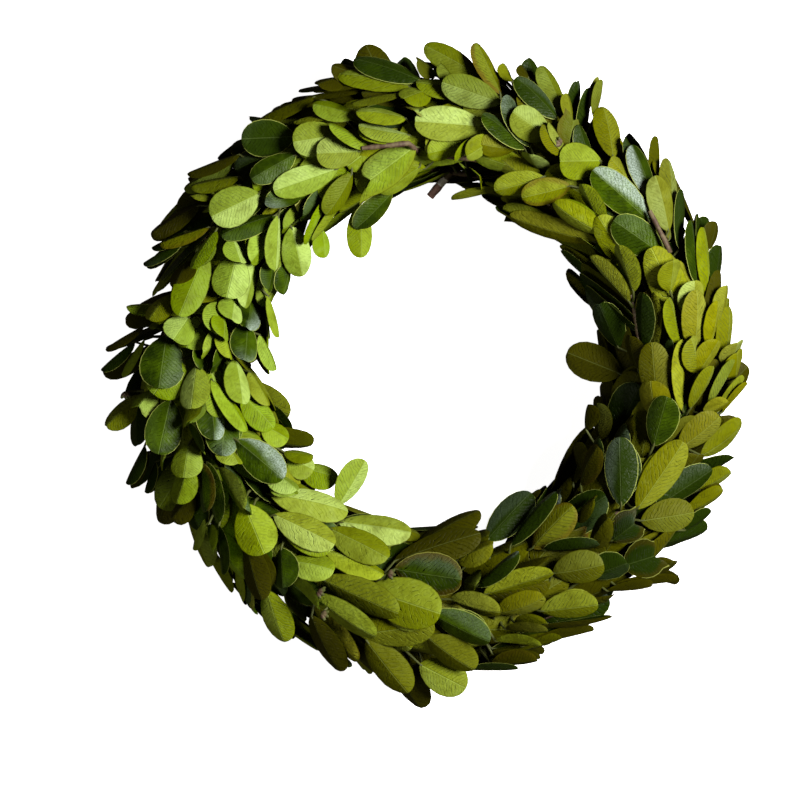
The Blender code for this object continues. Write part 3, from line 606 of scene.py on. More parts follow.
def make_sprig(bunch, place, turn_degrees):
    """A sprig as the stops of its stem."""
    name = f"sprig_{bunch + 1:02d}_{place + 1}"
    draw = Random(name)
    angle = FIRST_BUNCH_AT + 2 * pi * bunch / BUNCHES
    turn = radians(turn_degrees)
    drift = draw.uniform(-STEM_DRIFT, STEM_DRIFT)
    leafy = reach_above_table(turn, LEAFY_RADIUS * draw.uniform(*REACH_SPREAD), STEM_ABOVE_TABLE)
    length = STEM_LENGTH * draw.uniform(*STEM_SPREAD)
    track = RING_RADIUS + leafy * cos(turn)
    stops = []
    for share in STEM_STOPS:
        along = share * length
        flare = smooth((along - BOUND_LENGTH) / FLARE_LENGTH)
        reach = BOUND_RADIUS + (leafy - BOUND_RADIUS) * flare
        stops.append(ring_point(angle + along / track, turn + drift * share * flare, reach))
    size = leaf_size(angle + STEM_LENGTH / RING_RADIUS / 2) * draw.uniform(*SIZE_SPREAD)
    return Sprig(name, size, stops)


def make_sprigs():
    sprigs = []
    for bunch in range(BUNCHES):
        turns = TURNED_BUNCH if bunch % 2 else FRONT_BUNCH
        sprigs += [make_sprig(bunch, place, turn) for place, turn in enumerate(turns)]
    return sprigs


def stem_point(sprig, share):
    """The point on a stem's own line at a share of its length."""
    for i in range(len(STEM_STOPS) - 1):
        low, high = STEM_STOPS[i], STEM_STOPS[i + 1]
        if share <= high:
            return sprig.stops[i].lerp(sprig.stops[i + 1], (share - low) / (high - low))
    return sprig.stops[-1]


def binding_points(steps=BINDING_STEPS):
    """The binding wire: its turns round each bunch, and a run between its stems to the next bunch."""
    points = []
    step = 2 * pi / BUNCHES
    count = BINDING_TURNS * steps
    start, end = BINDING_SPREAD
    for bunch in range(BUNCHES):
        angle = FIRST_BUNCH_AT + step * bunch
        gap = radians((TURNED_BUNCH if bunch % 2 else FRONT_BUNCH)[0] + BETWEEN_SPRIGS)
        for i in range(count + 1):
            along = start + (end - start) * i / count
            turn = gap + 2 * pi * BINDING_TURNS * i / count
            points.append(ring_point(angle + along / RING_RADIUS, turn, BINDING_RADIUS))
        if bunch < BUNCHES - 1:
            points += [ring_point(angle + step * share, gap, BINDING_RADIUS) for share in BINDING_RUN]
    return points


def leaf_axes(leaf):
    """Where a leaf starts, its axis, its side and its face as directions, and its length."""
    heel = leaf.root if leaf.heel is None else leaf.heel
    length = (leaf.tip - heel).length
    axis = (leaf.tip - heel) / length
    side = leaf.normal.cross(axis).normalized()
    return heel, axis, side, axis.cross(side), length


def outline_points(leaf, grow=0):
    """The rim of a leaf from its root round to its root again, and the side that it faces."""
    heel, axis, side, normal, length = leaf_axes(leaf)
    shape = LEAF_OUTLINE if leaf.heel is None else BENT_OUTLINE

    def point(share, across):
        wide = across * (leaf.width / 2 + grow)
        return heel + axis * share * (length + grow) + side * wide - normal * abs(wide) * tan(leaf.fold)

    left = [point(share, across) for share, across in shape]
    right = [point(share, -across) for share, across in shape[-2:0:-1]]
    return [leaf.root] + left[1:] + right, normal


def leaf_faces(leaf):
    """The two halves of a folded leaf, or the slope and the flat blade of a bent one."""
    return FOLDED_FACES if leaf.heel is None else BENT_FACES


def blade_only(leaf):
    """A bent leaf without its stalk, folded as its real blade is."""
    return leaf if leaf.heel is None else leaf._replace(root=leaf.heel, heel=None, fold=BLADE_FOLD)


def leaf_slab(leaf, room):
    """A leaf with the clearance added all round, as a tree of faces for testing what it meets."""
    rim, normal = outline_points(leaf, room.clearance)
    lift = normal * (room.thickness / 2 + room.clearance)
    count = len(rim)
    points = [p + lift for p in rim] + [p - lift for p in rim]
    faces = list(leaf_faces(leaf))
    faces += [tuple(i + count for i in face) for face in leaf_faces(leaf)]
    faces += [(i, (i + 1) % count, (i + 1) % count + count, i + count) for i in range(count)]
    return BVHTree.FromPolygons(points, faces)


def rod_slab(start, end, radius, room):
    """A straight length of stem or wire with the clearance added, as a tree of faces."""
    run = (end - start).normalized()
    wide = run.orthogonal().normalized() * (radius + room.clearance) / cos(pi / SLAB_SIDES)
    turned = [Matrix.Rotation(2 * pi * k / SLAB_SIDES, 3, run) @ wide for k in range(SLAB_SIDES)]
    points = [start + direction for direction in turned] + [end + direction for direction in turned]
    nexts = [(k, (k + 1) % SLAB_SIDES) for k in range(SLAB_SIDES)]
    return BVHTree.FromPolygons(points, [(a, b, b + SLAB_SIDES, a + SLAB_SIDES) for a, b in nexts])


class Thicket:
    """What has grown so far, and whether a new leaf or twig is clear of it."""

    def __init__(self, room):
        self.room = room
        self.things = []
        self.leaves = {}

    def add_rods(self, points, radius, owner):
        for a, b in zip(points, points[1:]):
            ball = ((a + b) / 2, (a - b).length / 2 + radius + self.room.clearance)
            self.things.append((rod_slab(a, b, radius, self.room), *ball, owner))

    def add_leaf(self, leaf, owner):
        self.leaves.setdefault(owner, []).append(leaf)
        body = blade_only(leaf) if self.room is BLADE_ROOM else leaf
        self.things.append((leaf_slab(body, self.room), *self.ball(body), owner))

    def ball(self, leaf):
        return (leaf.root + leaf.tip) / 2, (leaf.tip - leaf.root).length / 2 + self.room.thickness

    def meets(self, tree, middle, radius, owner):
        """Whether a shape meets anything that grows from another stem."""
        for other, centre, size, whose in self.things:
            if whose != owner and (centre - middle).length < size + radius and tree.overlap(other):
                return True
        return False

    def has_room(self, leaf, owner):
        owned = self.leaves.get(owner, ())
        if any((own.root - leaf.root).length < ROOTS_APART for own in owned):
            return False
        if self.room is BLADE_ROOM:
            leaf = blade_only(leaf)
        rim, _ = outline_points(leaf)
        if min(p.z for p in rim) < LOWEST_LEAF:
            return False
        if max(abs(p.x) for p in rim) > WREATH_WIDTH / 2 or max(abs(p.y) for p in rim) > WREATH_HEIGHT / 2:
            return False
        if self.meets(leaf_slab(leaf, self.room), *self.ball(leaf), owner):
            return False
        tree = leaf_slab(outer_part(leaf), self.room)
        for own in owned:
            other = blade_only(own) if self.room is BLADE_ROOM else own
            if tree.overlap(leaf_slab(outer_part(other), self.room)):
                return False
        return True


def outer_part(leaf):
    """A leaf without its root, where the leaves of one sprig run together in the stem."""
    return leaf._replace(root=leaf.root.lerp(leaf.tip, SUNK_SHARE))


def grow_leaf(sprig, share, side, draw, looseness):
    """One try at a leaf that runs from the stem forward to the crown."""
    root = stem_point(sprig, share)
    angle, turn, reach = place_of(root)
    length = LEAF_LENGTH * sprig.size * draw.uniform(*LENGTH_SPREAD)
    splay = side * SIDE_SPLAY * draw.uniform(*SPLAY_SPREAD) + FRONT_SPLAY * draw.uniform(-1, 1)
    splay += LOOSE_SPLAY * looseness * draw.uniform(-1, 1)
    crown = crown_reach(angle, turn) * draw.uniform(*CROWN_SPREAD)
    crown *= 1 - LOOSE_DROP * looseness * draw.random()
    crown *= 1 - FRONT_DIP * max(sin(turn), 0)
    rise = min(crown - reach, STEEPEST_RISE * length)
    across = length * sin(splay)
    forward = sqrt(max(length * length - rise * rise - across * across, (LEAST_FORWARD * length) ** 2))

    halfway = reach + rise / 2
    tip_turn = turn + across / halfway
    tip_angle = angle + forward / (RING_RADIUS + halfway * cos(turn))
    tip = ring_point(tip_angle, tip_turn, reach_above_table(tip_turn, reach + rise, LOWEST_TIP))
    axis = (tip - root).normalized()

    outside = section_normal((angle + tip_angle) / 2, (turn + tip_turn) / 2)
    roll = (ROLL + LOOSE_ROLL * looseness) * draw.uniform(-1, 1)
    normal = Matrix.Rotation(roll, 3, axis) @ (outside - axis * outside.dot(axis)).normalized()
    width = LEAF_WIDTH * sprig.size * draw.uniform(*WIDTH_SPREAD)
    fold = LEAF_FOLD * draw.uniform(*FOLD_SPREAD) * draw.choice(FOLD_WAYS)
    return Leaf(root, root + axis * length, normal, width, fold, None)


def grow_first(choices, thicket):
    """Grow the first leaf that has room, of some choices with their owners."""
    for owner, leaf in choices:
        if thicket.has_room(leaf, owner):
            thicket.add_leaf(leaf, owner)
            return leaf
    return None


def stem_nodes(sprigs):
    """The places on all the stems where a leaf could grow."""
    for sprig in sprigs:
        for step in range(TIP_NODES):
            yield sprig, stem_point(sprig, LOWEST_NODE + (1 - LOWEST_NODE) * step / (TIP_NODES - 1))


def best_nodes(choices, most):
    """The sprigs and roots with the lowest scores."""
    return [choice[1:] for choice in sorted(choices, key=lambda choice: choice[0])[:most]]


def nodes_near(tip, sprigs):
    """Where on the stems a leaf that ends at a given tip would most likely grow, best first."""
    choices = []
    for sprig, root in stem_nodes(sprigs):
        along = tip - root
        span = along.length / (LEAF_LENGTH * sprig.size)
        if TIP_SPAN[0] < span < TIP_SPAN[1]:
            _, forward = ring_frame(place_of(root)[0])
            astray = 1 - along.normalized().dot(forward)
            choices.append((abs(span - 1) + FORWARD_WORTH * astray, sprig, root))
    return best_nodes(choices, TIP_CHOICES)


def nodes_under(heel, tip, sprigs):
    """Where a stalk that reaches the start of a blade would most likely grow, best first."""
    aim = (tip - heel).normalized()
    choices = []
    for sprig, root in stem_nodes(sprigs):
        stalk = heel - root
        if STALK_SPAN[0] < stalk.length < STALK_SPAN[1] and stalk.dot(aim) > 0:
            choices.append((stalk.length - STALK_AIM * stalk.dot(aim), sprig, root))
    return best_nodes(choices, FRONT_NODES)


def nodes_behind(heel, tip, sprigs):
    """Where on the stems a straight leaf that runs over its blade's start would grow, best first."""
    aim = (tip - heel).to_2d().normalized()
    choices = []
    for sprig, root in stem_nodes(sprigs):
        along = tip - root
        span = along.length / (LEAF_LENGTH * sprig.size)
        if FRONT_SPAN[0] < span < FRONT_SPAN[1]:
            astray = 1 - along.to_2d().normalized().dot(aim)
            choices.append((abs(span - 1) + FRONT_AIM * astray, sprig, root))
    return best_nodes(choices, FRONT_NODES)


def face_up(axis, outward):
    """The face of a leaf that lies broad side up, and the way round in which it turns outward."""
    up = (UP - axis * axis.z).normalized()
    return up, 1 if up.cross(outward).dot(axis) > 0 else -1


def tip_choices(tip, facing, tone, sprigs):
    """The ways in which a leaf that ends at a given tip could grow, likeliest first."""
    outward, _ = ring_frame(place_of(tip)[0])
    for sprig, root in nodes_near(tip, sprigs):
        axis = (tip - root).normalized()
        up, way = face_up(axis, outward)
        for roll in TIP_ROLLS:
            normal = Matrix.Rotation(radians(facing + roll) * way, 3, axis) @ up
            yield sprig.name, Leaf(root, tip, normal, LEAF_WIDTH * sprig.size, LEAF_FOLD, None, tone)


def crown_point(x, y, dip=0):
    """The point over a pixel at the front's crown, or deeper, and the side of the ring it is on."""
    flat = from_photo(x, y, 0)
    off = Vector((flat.x - RING_CENTRE.x, flat.y - RING_CENTRE.y)).length - RING_RADIUS
    angle, _, _ = place_of(flat)
    reach = crown_reach(angle, acos(min(max(off / CROWN_RADIUS, -1), 1))) - dip
    flat.z = RING_CENTRE.z + sqrt(max(reach * reach - off * off, FLATTEST_CROWN * FLATTEST_CROWN))
    return flat, 1 if off > 0 else -1


def front_choices(place, sprigs):
    """The ways in which a leaf of the front could grow: bent where its blade starts, and then straight."""
    x, y, base_x, base_y, wide, tone = place
    crown, side = crown_point(x, y)
    foot, _ = crown_point(base_x, base_y, BLADE_DIP)
    outward, _ = ring_frame(place_of(crown)[0])
    for find_nodes, lift in product((nodes_under, nodes_behind), FRONT_LIFTS):
        bent = find_nodes is nodes_under
        tip, heel = crown + UP * (lift * MM), foot + UP * (lift * MM)
        for sprig, root in find_nodes(heel, tip, sprigs):
            axis = (tip - (heel if bent else root)).normalized()
            up, way = face_up(axis, outward)
            width = max(wide * PIXEL, NARROWEST * LEAF_WIDTH * sprig.size)
            turned = acos(wide * PIXEL / width)
            fold, start = (0, heel) if bent else (LEAF_FOLD, None)
            for roll in FRONT_ROLLS:
                normal = Matrix.Rotation((turned + radians(roll)) * way * side, 3, axis) @ up
                yield sprig.name, Leaf(root, tip, normal, width, fold, start, tone)


def grow_front(places, sprigs, thicket):
    """Grow leaves of the front as the photograph shows them, with None for each that has no room."""
    return [grow_first(front_choices(place, sprigs), thicket) for place in places]


def keep_in_sight(leaf, thicket):
    """Let nothing that grows later cover a leaf of the front."""
    start = leaf.root if leaf.heel is None else leaf.heel
    for share in SIGHT_SHARES:
        foot = start.lerp(leaf.tip, share) + SIGHT_FROM
        thicket.add_rods([foot, foot + SKY], leaf.width * SIGHT_WIDTH, "")


def grow_twig(start, end, sprigs, thicket):
    """A side twig that ends at a given point, from the nearest stem that it can reach."""
    nodes = []
    for sprig, root in stem_nodes(sprigs):
        if TWIG_REACH[0] < (end - root).length < TWIG_REACH[1]:
            nodes.append(((start - root).length, sprig.name, root))
    for owner, root in best_nodes(nodes, len(nodes)):
        slab = rod_slab(root, end, TWIG_RADIUS, thicket.room)
        if not thicket.meets(slab, (root + end) / 2, (end - root).length / 2, owner):
            thicket.add_rods([root, end], TWIG_RADIUS, owner)
            return Twig(owner, root, end)
    return None


def keep_sky_over(twig, thicket):
    """Let nothing grow round the bare end of the twig, nor over it."""
    bare = twig.end.lerp(twig.root, TWIG_BARE)
    thicket.add_rods([bare, bare + SKY], TWIG_RADIUS, "")
    thicket.add_rods([twig.end - SKY, twig.end + SKY], TWIG_CLEAR, "")


def pressed_leaf(sprig):
    """A leaf that comes down from a stem at the back and lies flat on the table."""
    root = stem_point(sprig, PRESSED_SHARE)
    outward, forward = ring_frame(place_of(root)[0])
    run = (forward + outward * PRESSED_OUTWARD).normalized()
    tip = root + run * LEAF_LENGTH
    tip.z = SOLID_ROOM.thickness / 2
    heel = root + run * PRESSED_STALK
    heel.z = tip.z
    return Leaf(root, tip, -UP, LEAF_WIDTH * PRESSED_WIDTH, 0, heel)


def bare_thicket(sprigs, room):
    """The stems and the binding wire alone, before any leaf grows."""
    thicket = Thicket(room)
    for sprig in sprigs:
        thicket.add_rods(sprig.stops, STEM_RADIUS, sprig.name)
    thicket.add_rods(binding_points(), BINDING_WIRE, "binding_wire")
    return thicket


def planned_choices(sprig, share, side, draw):
    """The tries at one leaf of a sprig's plan."""
    for attempt in range(TRIES):
        yield sprig.name, grow_leaf(sprig, share, side, draw, attempt / TRIES)


def grow_packed_leaves(sprigs):
    """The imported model's leaves, its side twig, and those of the front that it has room for and has not."""
    thicket = bare_thicket(sprigs, SOLID_ROOM)
    twig = grow_twig(from_photo(*TWIG_START), from_photo(*TWIG_END), sprigs, thicket)
    keep_sky_over(twig, thicket)
    for sprig in sprigs[len(FRONT_BUNCH) + PRESSED_PLACE :: 2 * len(FRONT_BUNCH)]:
        thicket.add_leaf(pressed_leaf(sprig), sprig.name)
    for x, y, height, facing, tone in OUTER_TIPS + INNER_TIPS:
        grow_first(tip_choices(from_photo(x, y, height), facing, tone, sprigs), thicket)
    grown = grow_front(FRONT_LEAVES, sprigs, thicket)
    missing = [place for place, leaf in zip(FRONT_LEAVES, grown) if not leaf]
    front = [leaf for leaf in grown if leaf]
    for leaf in front:
        keep_in_sight(leaf, thicket)
    for sprig in sprigs:
        draw = Random("leaves of " + sprig.name)
        for share, side in LEAF_PLAN:
            grow_first(planned_choices(sprig, share, side, draw), thicket)
    return thicket.leaves, twig, front, missing


def stacked_leaf(sprig, leaf, share, step, draw):
    """A leaf that lies along another one of its sprig, from another place on the stem."""
    root = stem_point(sprig, share + step)
    shift = root - stem_point(sprig, share) - (leaf.normal * UNDER_DROP if leaf.tone else Vector())
    start = leaf.root if leaf.heel is None else leaf.heel
    run = (leaf.tip - start) * draw.uniform(*(UNDER_LENGTH if leaf.tone else STACK_LENGTH))
    turned = Matrix.Rotation(STACK_TURN * draw.uniform(-1, 1), 3, leaf.normal) @ run
    width = leaf.width * draw.uniform(*STACK_LENGTH)
    heel = None if leaf.heel is None else leaf.heel + shift
    tone = UNDER_TONES.get(leaf.tone, leaf.tone)
    return Leaf(root, start + shift + turned, leaf.normal, width, leaf.fold, heel, tone)


def share_of(sprig, root):
    """How far up its stem a leaf grows."""
    shares = [step / SHARE_STEPS for step in range(SHARE_STEPS + 1)]
    return min(shares, key=lambda share: (stem_point(sprig, share) - root).length)


def grow_all_leaves(sprigs, packed, twig, front, missing):
    """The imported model's leaves and all the others between them, for every sprig."""
    thicket = bare_thicket(sprigs, BLADE_ROOM)
    thicket.add_rods([twig.root, twig.end], TWIG_RADIUS, twig.owner)
    keep_sky_over(twig, thicket)
    for sprig in sprigs:
        for leaf in packed[sprig.name]:
            thicket.add_leaf(leaf, sprig.name)
    late = grow_front(tuple(missing) + THIN_LEAVES, sprigs, thicket)
    for leaf in front + [leaf for leaf in late if leaf]:
        keep_in_sight(leaf, thicket)
    for sprig in sprigs:
        draw = Random("stacked leaves of " + sprig.name)
        for leaf in packed[sprig.name]:
            if leaf.tip.z > LOWEST_LEAF:
                stack_on(sprig, leaf, draw, thicket)
    for (kind, steps, depths), sprig in product(FILLS, sprigs):
        draw = Random(kind + " leaves of " + sprig.name)
        for step in range(steps):
            share = FILL_FROM + (1 - FILL_FROM) * step / (steps - 1)
            side = FILL_SIDES[step % len(FILL_SIDES)]
            grow_first(flat_choices(sprig, share, side, depths, draw), thicket)
    return thicket.leaves


def flat_leaf(sprig, share, side, depths, draw):
    """A leaf on a short stalk, whose blade lies along the crown at some depth."""
    root = stem_point(sprig, share)
    angle, turn, _ = place_of(root)
    length = LEAF_LENGTH * sprig.size * draw.uniform(*FLAT_LENGTH)
    tip_reach = crown_reach(angle, turn) * draw.uniform(*depths)
    heel_reach = tip_reach - draw.uniform(*FLAT_RISE)
    heel_turn = turn + side * draw.uniform(*FLAT_ASIDE)
    track = RING_RADIUS + heel_reach * cos(heel_turn)
    heel_angle = angle + draw.uniform(*FLAT_AHEAD) / track
    heel = ring_point(heel_angle, heel_turn, reach_above_table(heel_turn, heel_reach, LOWEST_TIP))
    splay = FLAT_SPLAY * draw.uniform(-1, 1) + side * FLAT_SPLAY / 3
    tip_turn = heel_turn + length * sin(splay) / tip_reach
    tip_angle = heel_angle + length * cos(splay) / track
    tip = ring_point(tip_angle, tip_turn, reach_above_table(tip_turn, tip_reach, LOWEST_TIP))
    axis = (tip - heel).normalized()
    outside = section_normal((heel_angle + tip_angle) / 2, (heel_turn + tip_turn) / 2)
    upright = (outside - axis * outside.dot(axis)).normalized()
    normal = Matrix.Rotation(ROLL * draw.uniform(-1, 1), 3, axis) @ upright
    width = LEAF_WIDTH * sprig.size * draw.uniform(*FLAT_LENGTH)
    return Leaf(root, heel + axis * length, normal, width, 0, heel)


def flat_choices(sprig, share, side, depths, draw):
    for _ in range(FILL_TRIES):
        yield sprig.name, flat_leaf(sprig, share, side, depths, draw)


def stacked_choices(sprig, leaf, share, step, draw):
    for _ in range(STACK_TRIES):
        yield sprig.name, stacked_leaf(sprig, leaf, share, step, draw)


def stack_on(sprig, leaf, draw, thicket):
    """Grow the leaves on one leaf and under it, where there is room. One that hangs free stays single."""
    flat = Vector((leaf.tip.x - RING_CENTRE.x, leaf.tip.y - RING_CENTRE.y)).length - RING_RADIUS
    if leaf.tone and abs(flat) > BAND:
        return
    share = share_of(sprig, leaf.root)
    for step in STACK_STEPS:
        if not 0 < share + step <= 1 or (leaf.tone and step != STACK_STEPS[0]):
            continue
        grow_first(stacked_choices(sprig, leaf, share, step, draw), thicket)


class Value:
    """An output socket that Python's operators work on: each adds a Math or Vector Math node."""

    def __init__(self, graph, socket):
        self.graph = graph
        self.socket = socket

    def is_vector(self):
        return self.socket.type in ("VECTOR", "RGBA")

    def sum(self, operation, first, second):
        kind = "ShaderNodeVectorMath" if self.is_vector() else "ShaderNodeMath"
        return self.graph.add(kind, {"operation": operation}, {0: first, 1: second})

    def __add__(self, other):
        return self.sum("ADD", self, other)

    def __radd__(self, other):
        return self.sum("ADD", other, self)

    def __sub__(self, other):
        return self.sum("SUBTRACT", self, other)

    def __rsub__(self, other):
        return self.sum("SUBTRACT", other, self)

    def __mul__(self, other):
        if self.is_vector():
            return self.graph.add("ShaderNodeVectorMath", {"operation": "SCALE"}, {0: self, "Scale": other})
        return self.sum("MULTIPLY", self, other)

    def __rmul__(self, other):
        return self * other

    def __pow__(self, other):
        return self.sum("POWER", self, other)

    def of_one(self, operation):
        return self.graph.add("ShaderNodeMath", {"operation": operation}, {0: self})

    def __abs__(self):
        return self.of_one("ABSOLUTE")

    def sine(self):
        return self.of_one("SINE")

    def cosine(self):
        return self.of_one("COSINE")

    def ramp(self, low, high, start=0.0, end=1.0):
        """A smooth step from start to end as this value goes from low to high."""
        settings = {"interpolation_type": "SMOOTHSTEP"}
        sockets = {"Value": self, "From Min": low, "From Max": high, "To Min": start, "To Max": end}
        return self.graph.add("ShaderNodeMapRange", settings, sockets)

    def parts(self):
        """The three numbers of a vector."""
        split = self.graph.node("ShaderNodeSeparateXYZ", {}, {0: self})
        return [Value(self.graph, output) for output in split.outputs]


class Graph:
    """A node tree that is filled one node at a time."""

    def __init__(self, tree):
        self.tree = tree

    def node(self, kind, settings=None, sockets=None):
        made = self.tree.nodes.new(kind)
        for name, value in (settings or {}).items():
            setattr(made, name, value)
        for key, value in (sockets or {}).items():
            if isinstance(value, Value):
                self.tree.links.new(value.socket, made.inputs[key])
            else:
                made.inputs[key].default_value = value
        return made

    def add(self, kind, settings=None, sockets=None, output=0):
        return Value(self, self.node(kind, settings, sockets).outputs[output])

    def mix(self, factor, first, second):
        """A colour between two colours."""
        sockets = {0: factor, 6: first, 7: second}
        return self.add("ShaderNodeMix", {"data_type": "RGBA"}, sockets, 2)

    def noise(self, vector, scale, detail=2.0, distortion=0.0):
        sockets = {"Vector": vector, "Scale": scale, "Detail": detail, "Distortion": distortion}
        return self.add("ShaderNodeTexNoise", {}, sockets)

    def distance(self, vector, point):
        sockets = {0: vector, 1: tuple(point)}
        return self.add("ShaderNodeVectorMath", {"operation": "DISTANCE"}, sockets, "Value")

    def attribute(self, name, output="Fac"):
        return self.add("ShaderNodeAttribute", {"attribute_name": name}, {}, output)

    def inputs(self):
        """The values that a Geometry Nodes tree is given, by name."""
        group = self.tree.nodes.new("NodeGroupInput")
        return {output.name: Value(self, output) for output in group.outputs if output.name}


# The real leaf: the rows of its grid, as shares of its length at the rim and at the rib, and its outline
RIM_ROWS = (0, 0.05, 0.14, 0.28, 0.44, 0.6, 0.75, 0.87, 0.95, 0.985)
RIB_ROWS = (0, 0.05, 0.15, 0.3, 0.47, 0.64, 0.79, 0.905, 0.975, 1)
LEAF_COLUMNS = (-1, -0.6, 0, 0.6, 1)
WIDEST_AT = 0.57
LEAF_BLUNTNESS = 0.62
STALK_WIDTH = 0.11
CUT_WIDTH = 0.72
CUT_FROM = 0.4
CUT_OVER = 0.3
MODEL_THICKNESS = 0.05
RIM_CURL = 0.11
STEM_SIDES = 8
WIRE_SIDES = 12
RIPPLES = 17
TWISTED_ABOUT = 0.3


def half_width(share):
    """The outline of a whole leaf, as a share of its half width."""
    root_power, tip_power = LEAF_BLUNTNESS, LEAF_BLUNTNESS * (1 - WIDEST_AT) / WIDEST_AT
    shape = share**root_power * (1 - share) ** tip_power
    widest = WIDEST_AT**root_power * (1 - WIDEST_AT) ** tip_power
    return max(shape / widest, STALK_WIDTH * (1 - share))


def cut_half_width(share):
    """The outline of a leaf that was cut across."""
    return max(half_width(share), CUT_WIDTH * smooth((share - CUT_FROM) / CUT_OVER))


def blade_grid():
    """The blade's places, as share, distance across and side, their shares at the rim, and their order."""
    last_row, last_column = len(RIM_ROWS) - 1, len(LEAF_COLUMNS) - 1
    places, rims, top, bottom = [], [], {}, {}
    for side, index in ((1, top), (-1, bottom)):
        for row, (rim_share, rib_share) in enumerate(zip(RIM_ROWS, RIB_ROWS)):
            for column, across in enumerate(LEAF_COLUMNS):
                on_rim = row in (0, last_row) or column in (0, last_column)
                if on_rim and side == -1:
                    index[row, column] = top[row, column]
                    continue
                index[row, column] = len(places)
                share = rib_share + (rim_share - rib_share) * across * across
                places.append((share, across, 0 if on_rim else side))
                rims.append(rim_share)
    return places, rims, top, bottom


def mark_creases(mesh, places, sides):
    """Sharpen the rib on both sides and the rim."""
    middle = len(LEAF_COLUMNS) // 2
    steps = range(len(RIM_ROWS) - 1)
    creases = {frozenset((spots[r, middle], spots[r + 1, middle])) for spots in sides for r in steps}
    for edge in mesh.edges:
        a, b = edge.vertices
        on_rim = places[a][2] == 0 and places[b][2] == 0
        edge.use_edge_sharp = frozenset((a, b)) in creases or on_rim


def blade_mesh():
    """One leaf's closed blade, flat and without its size. Its attributes say where each point is on it."""
    places, rims, top, bottom = blade_grid()
    faces = []
    for row, column in product(range(len(RIM_ROWS) - 1), range(len(LEAF_COLUMNS) - 1)):
        ring = ((row, column), (row + 1, column), (row + 1, column + 1), (row, column + 1))
        faces.append([top[spot] for spot in reversed(ring)])
        faces.append([bottom[spot] for spot in ring])
    points = [(u, v * half_width(rim), s * MODEL_THICKNESS) for (u, v, s), rim in zip(places, rims)]
    mesh = bpy.data.meshes.new("leaf_blade")
    mesh.from_pydata(points, [], faces)
    mesh.polygons.foreach_set("use_smooth", [True] * len(faces))
    mark_creases(mesh, places, (top, bottom))
    store(mesh, "leaf_place", "FLOAT_VECTOR", "POINT", places)
    store(mesh, "leaf_half", "FLOAT", "POINT", [half_width(rim) for rim in rims])
    store(mesh, "place_cut_half", "FLOAT", "POINT", [cut_half_width(rim) for rim in rims])
    store(mesh, "top_face", "FLOAT", "FACE", [1.0 if i % 2 == 0 else 0.0 for i in range(len(faces))])
    return mesh


def store(mesh, name, kind, domain, values):
    """Keep a value for each point or face of a mesh."""
    layer = mesh.attributes.new(name, kind, domain)
    if kind == "FLOAT_VECTOR":
        layer.data.foreach_set("vector", [number for value in values for number in value])
    else:
        layer.data.foreach_set("value", values)


def new_tree(name, inputs):
    """An empty Geometry Nodes tree with its named inputs, which follow its geometry input."""
    tree = bpy.data.node_groups.new(name, "GeometryNodeTree")
    tree.interface.new_socket("Geometry", in_out="INPUT", socket_type="NodeSocketGeometry")
    tree.interface.new_socket("Geometry", in_out="OUTPUT", socket_type="NodeSocketGeometry")
    for label, kind, value in inputs:
        socket = tree.interface.new_socket(label, in_out="INPUT", socket_type=kind)
        if value is not None:
            socket.default_value = value
    return tree


def end_tree(tree, value):
    output = tree.nodes.new("NodeGroupOutput")
    tree.links.new(value.socket, output.inputs[0])
    return tree


def named(graph, name, kind="FLOAT_VECTOR"):
    return graph.add("GeometryNodeInputNamedAttribute", {"data_type": kind}, {"Name": name})


def with_material(graph, geometry, material):
    return graph.add("GeometryNodeSetMaterial", {}, {"Geometry": geometry, "Material": material})


def bent_place(graph, given):
    """Where each point of a blade goes, when its leaf has its own place, size and form."""
    along, across, face_side = named(graph, "leaf_place").parts()
    length, half, twist = named(graph, "place_size").parts()
    fold, arch, tip_bend = named(graph, "place_bend").parts()
    wave, phase, curl = named(graph, "place_rim").parts()
    notch, cut, slant = named(graph, "place_end").parts()
    whole = named(graph, "leaf_half", "FLOAT")
    width = whole + (named(graph, "place_cut_half", "FLOAT") - whole) * cut

    wide = across * width * half
    from_rib = abs(wide)
    to_rim = abs(across)
    near_tip = along**6
    forward = along * length * (1 + near_tip * (cut * slant * across - notch * (1 - to_rim) ** 2))
    rim_droop = given["Rim curl"] * curl * (to_rim**3) * width * half
    ripple = wave * (along * RIPPLES + phase + across * 2).sine() * to_rim * width * half
    bow = (arch * along * (1 - along) * 4 + tip_bend * along**4) * length
    skin = face_side * given["Leaf thickness"] * 0.5
    height = bow + ripple + skin - from_rib * fold - rim_droop
    angle = twist * (along - TWISTED_ABOUT)
    turned_wide = wide * angle.cosine() - height * angle.sine()
    turned_height = wide * angle.sine() + height * angle.cosine()
    spot = named(graph, "place_root") + named(graph, "place_axis") * forward
    return spot + named(graph, "place_side") * turned_wide + named(graph, "place_face") * turned_height


def stem_tubes(graph, given):
    """The stems' lines as tubes, which keep their radius as an attribute."""
    lines = graph.add("GeometryNodeObjectInfo", {}, {"Object": given["Stems"]}, "Geometry")
    circle = {"Resolution": STEM_SIDES, "Radius": 1.0}
    profile = graph.add("GeometryNodeCurvePrimitiveCircle", {"mode": "RADIUS"}, circle)
    thick = graph.add("GeometryNodeInputRadius")
    kept = {0: lines, 2: "stem_radius", 3: thick}
    marked = graph.add("GeometryNodeStoreNamedAttribute", {"data_type": "FLOAT"}, kept)
    sweep = {"Curve": marked, "Profile Curve": profile, "Fill Caps": True, "Scale": thick}
    return graph.add("GeometryNodeCurveToMesh", {}, sweep)


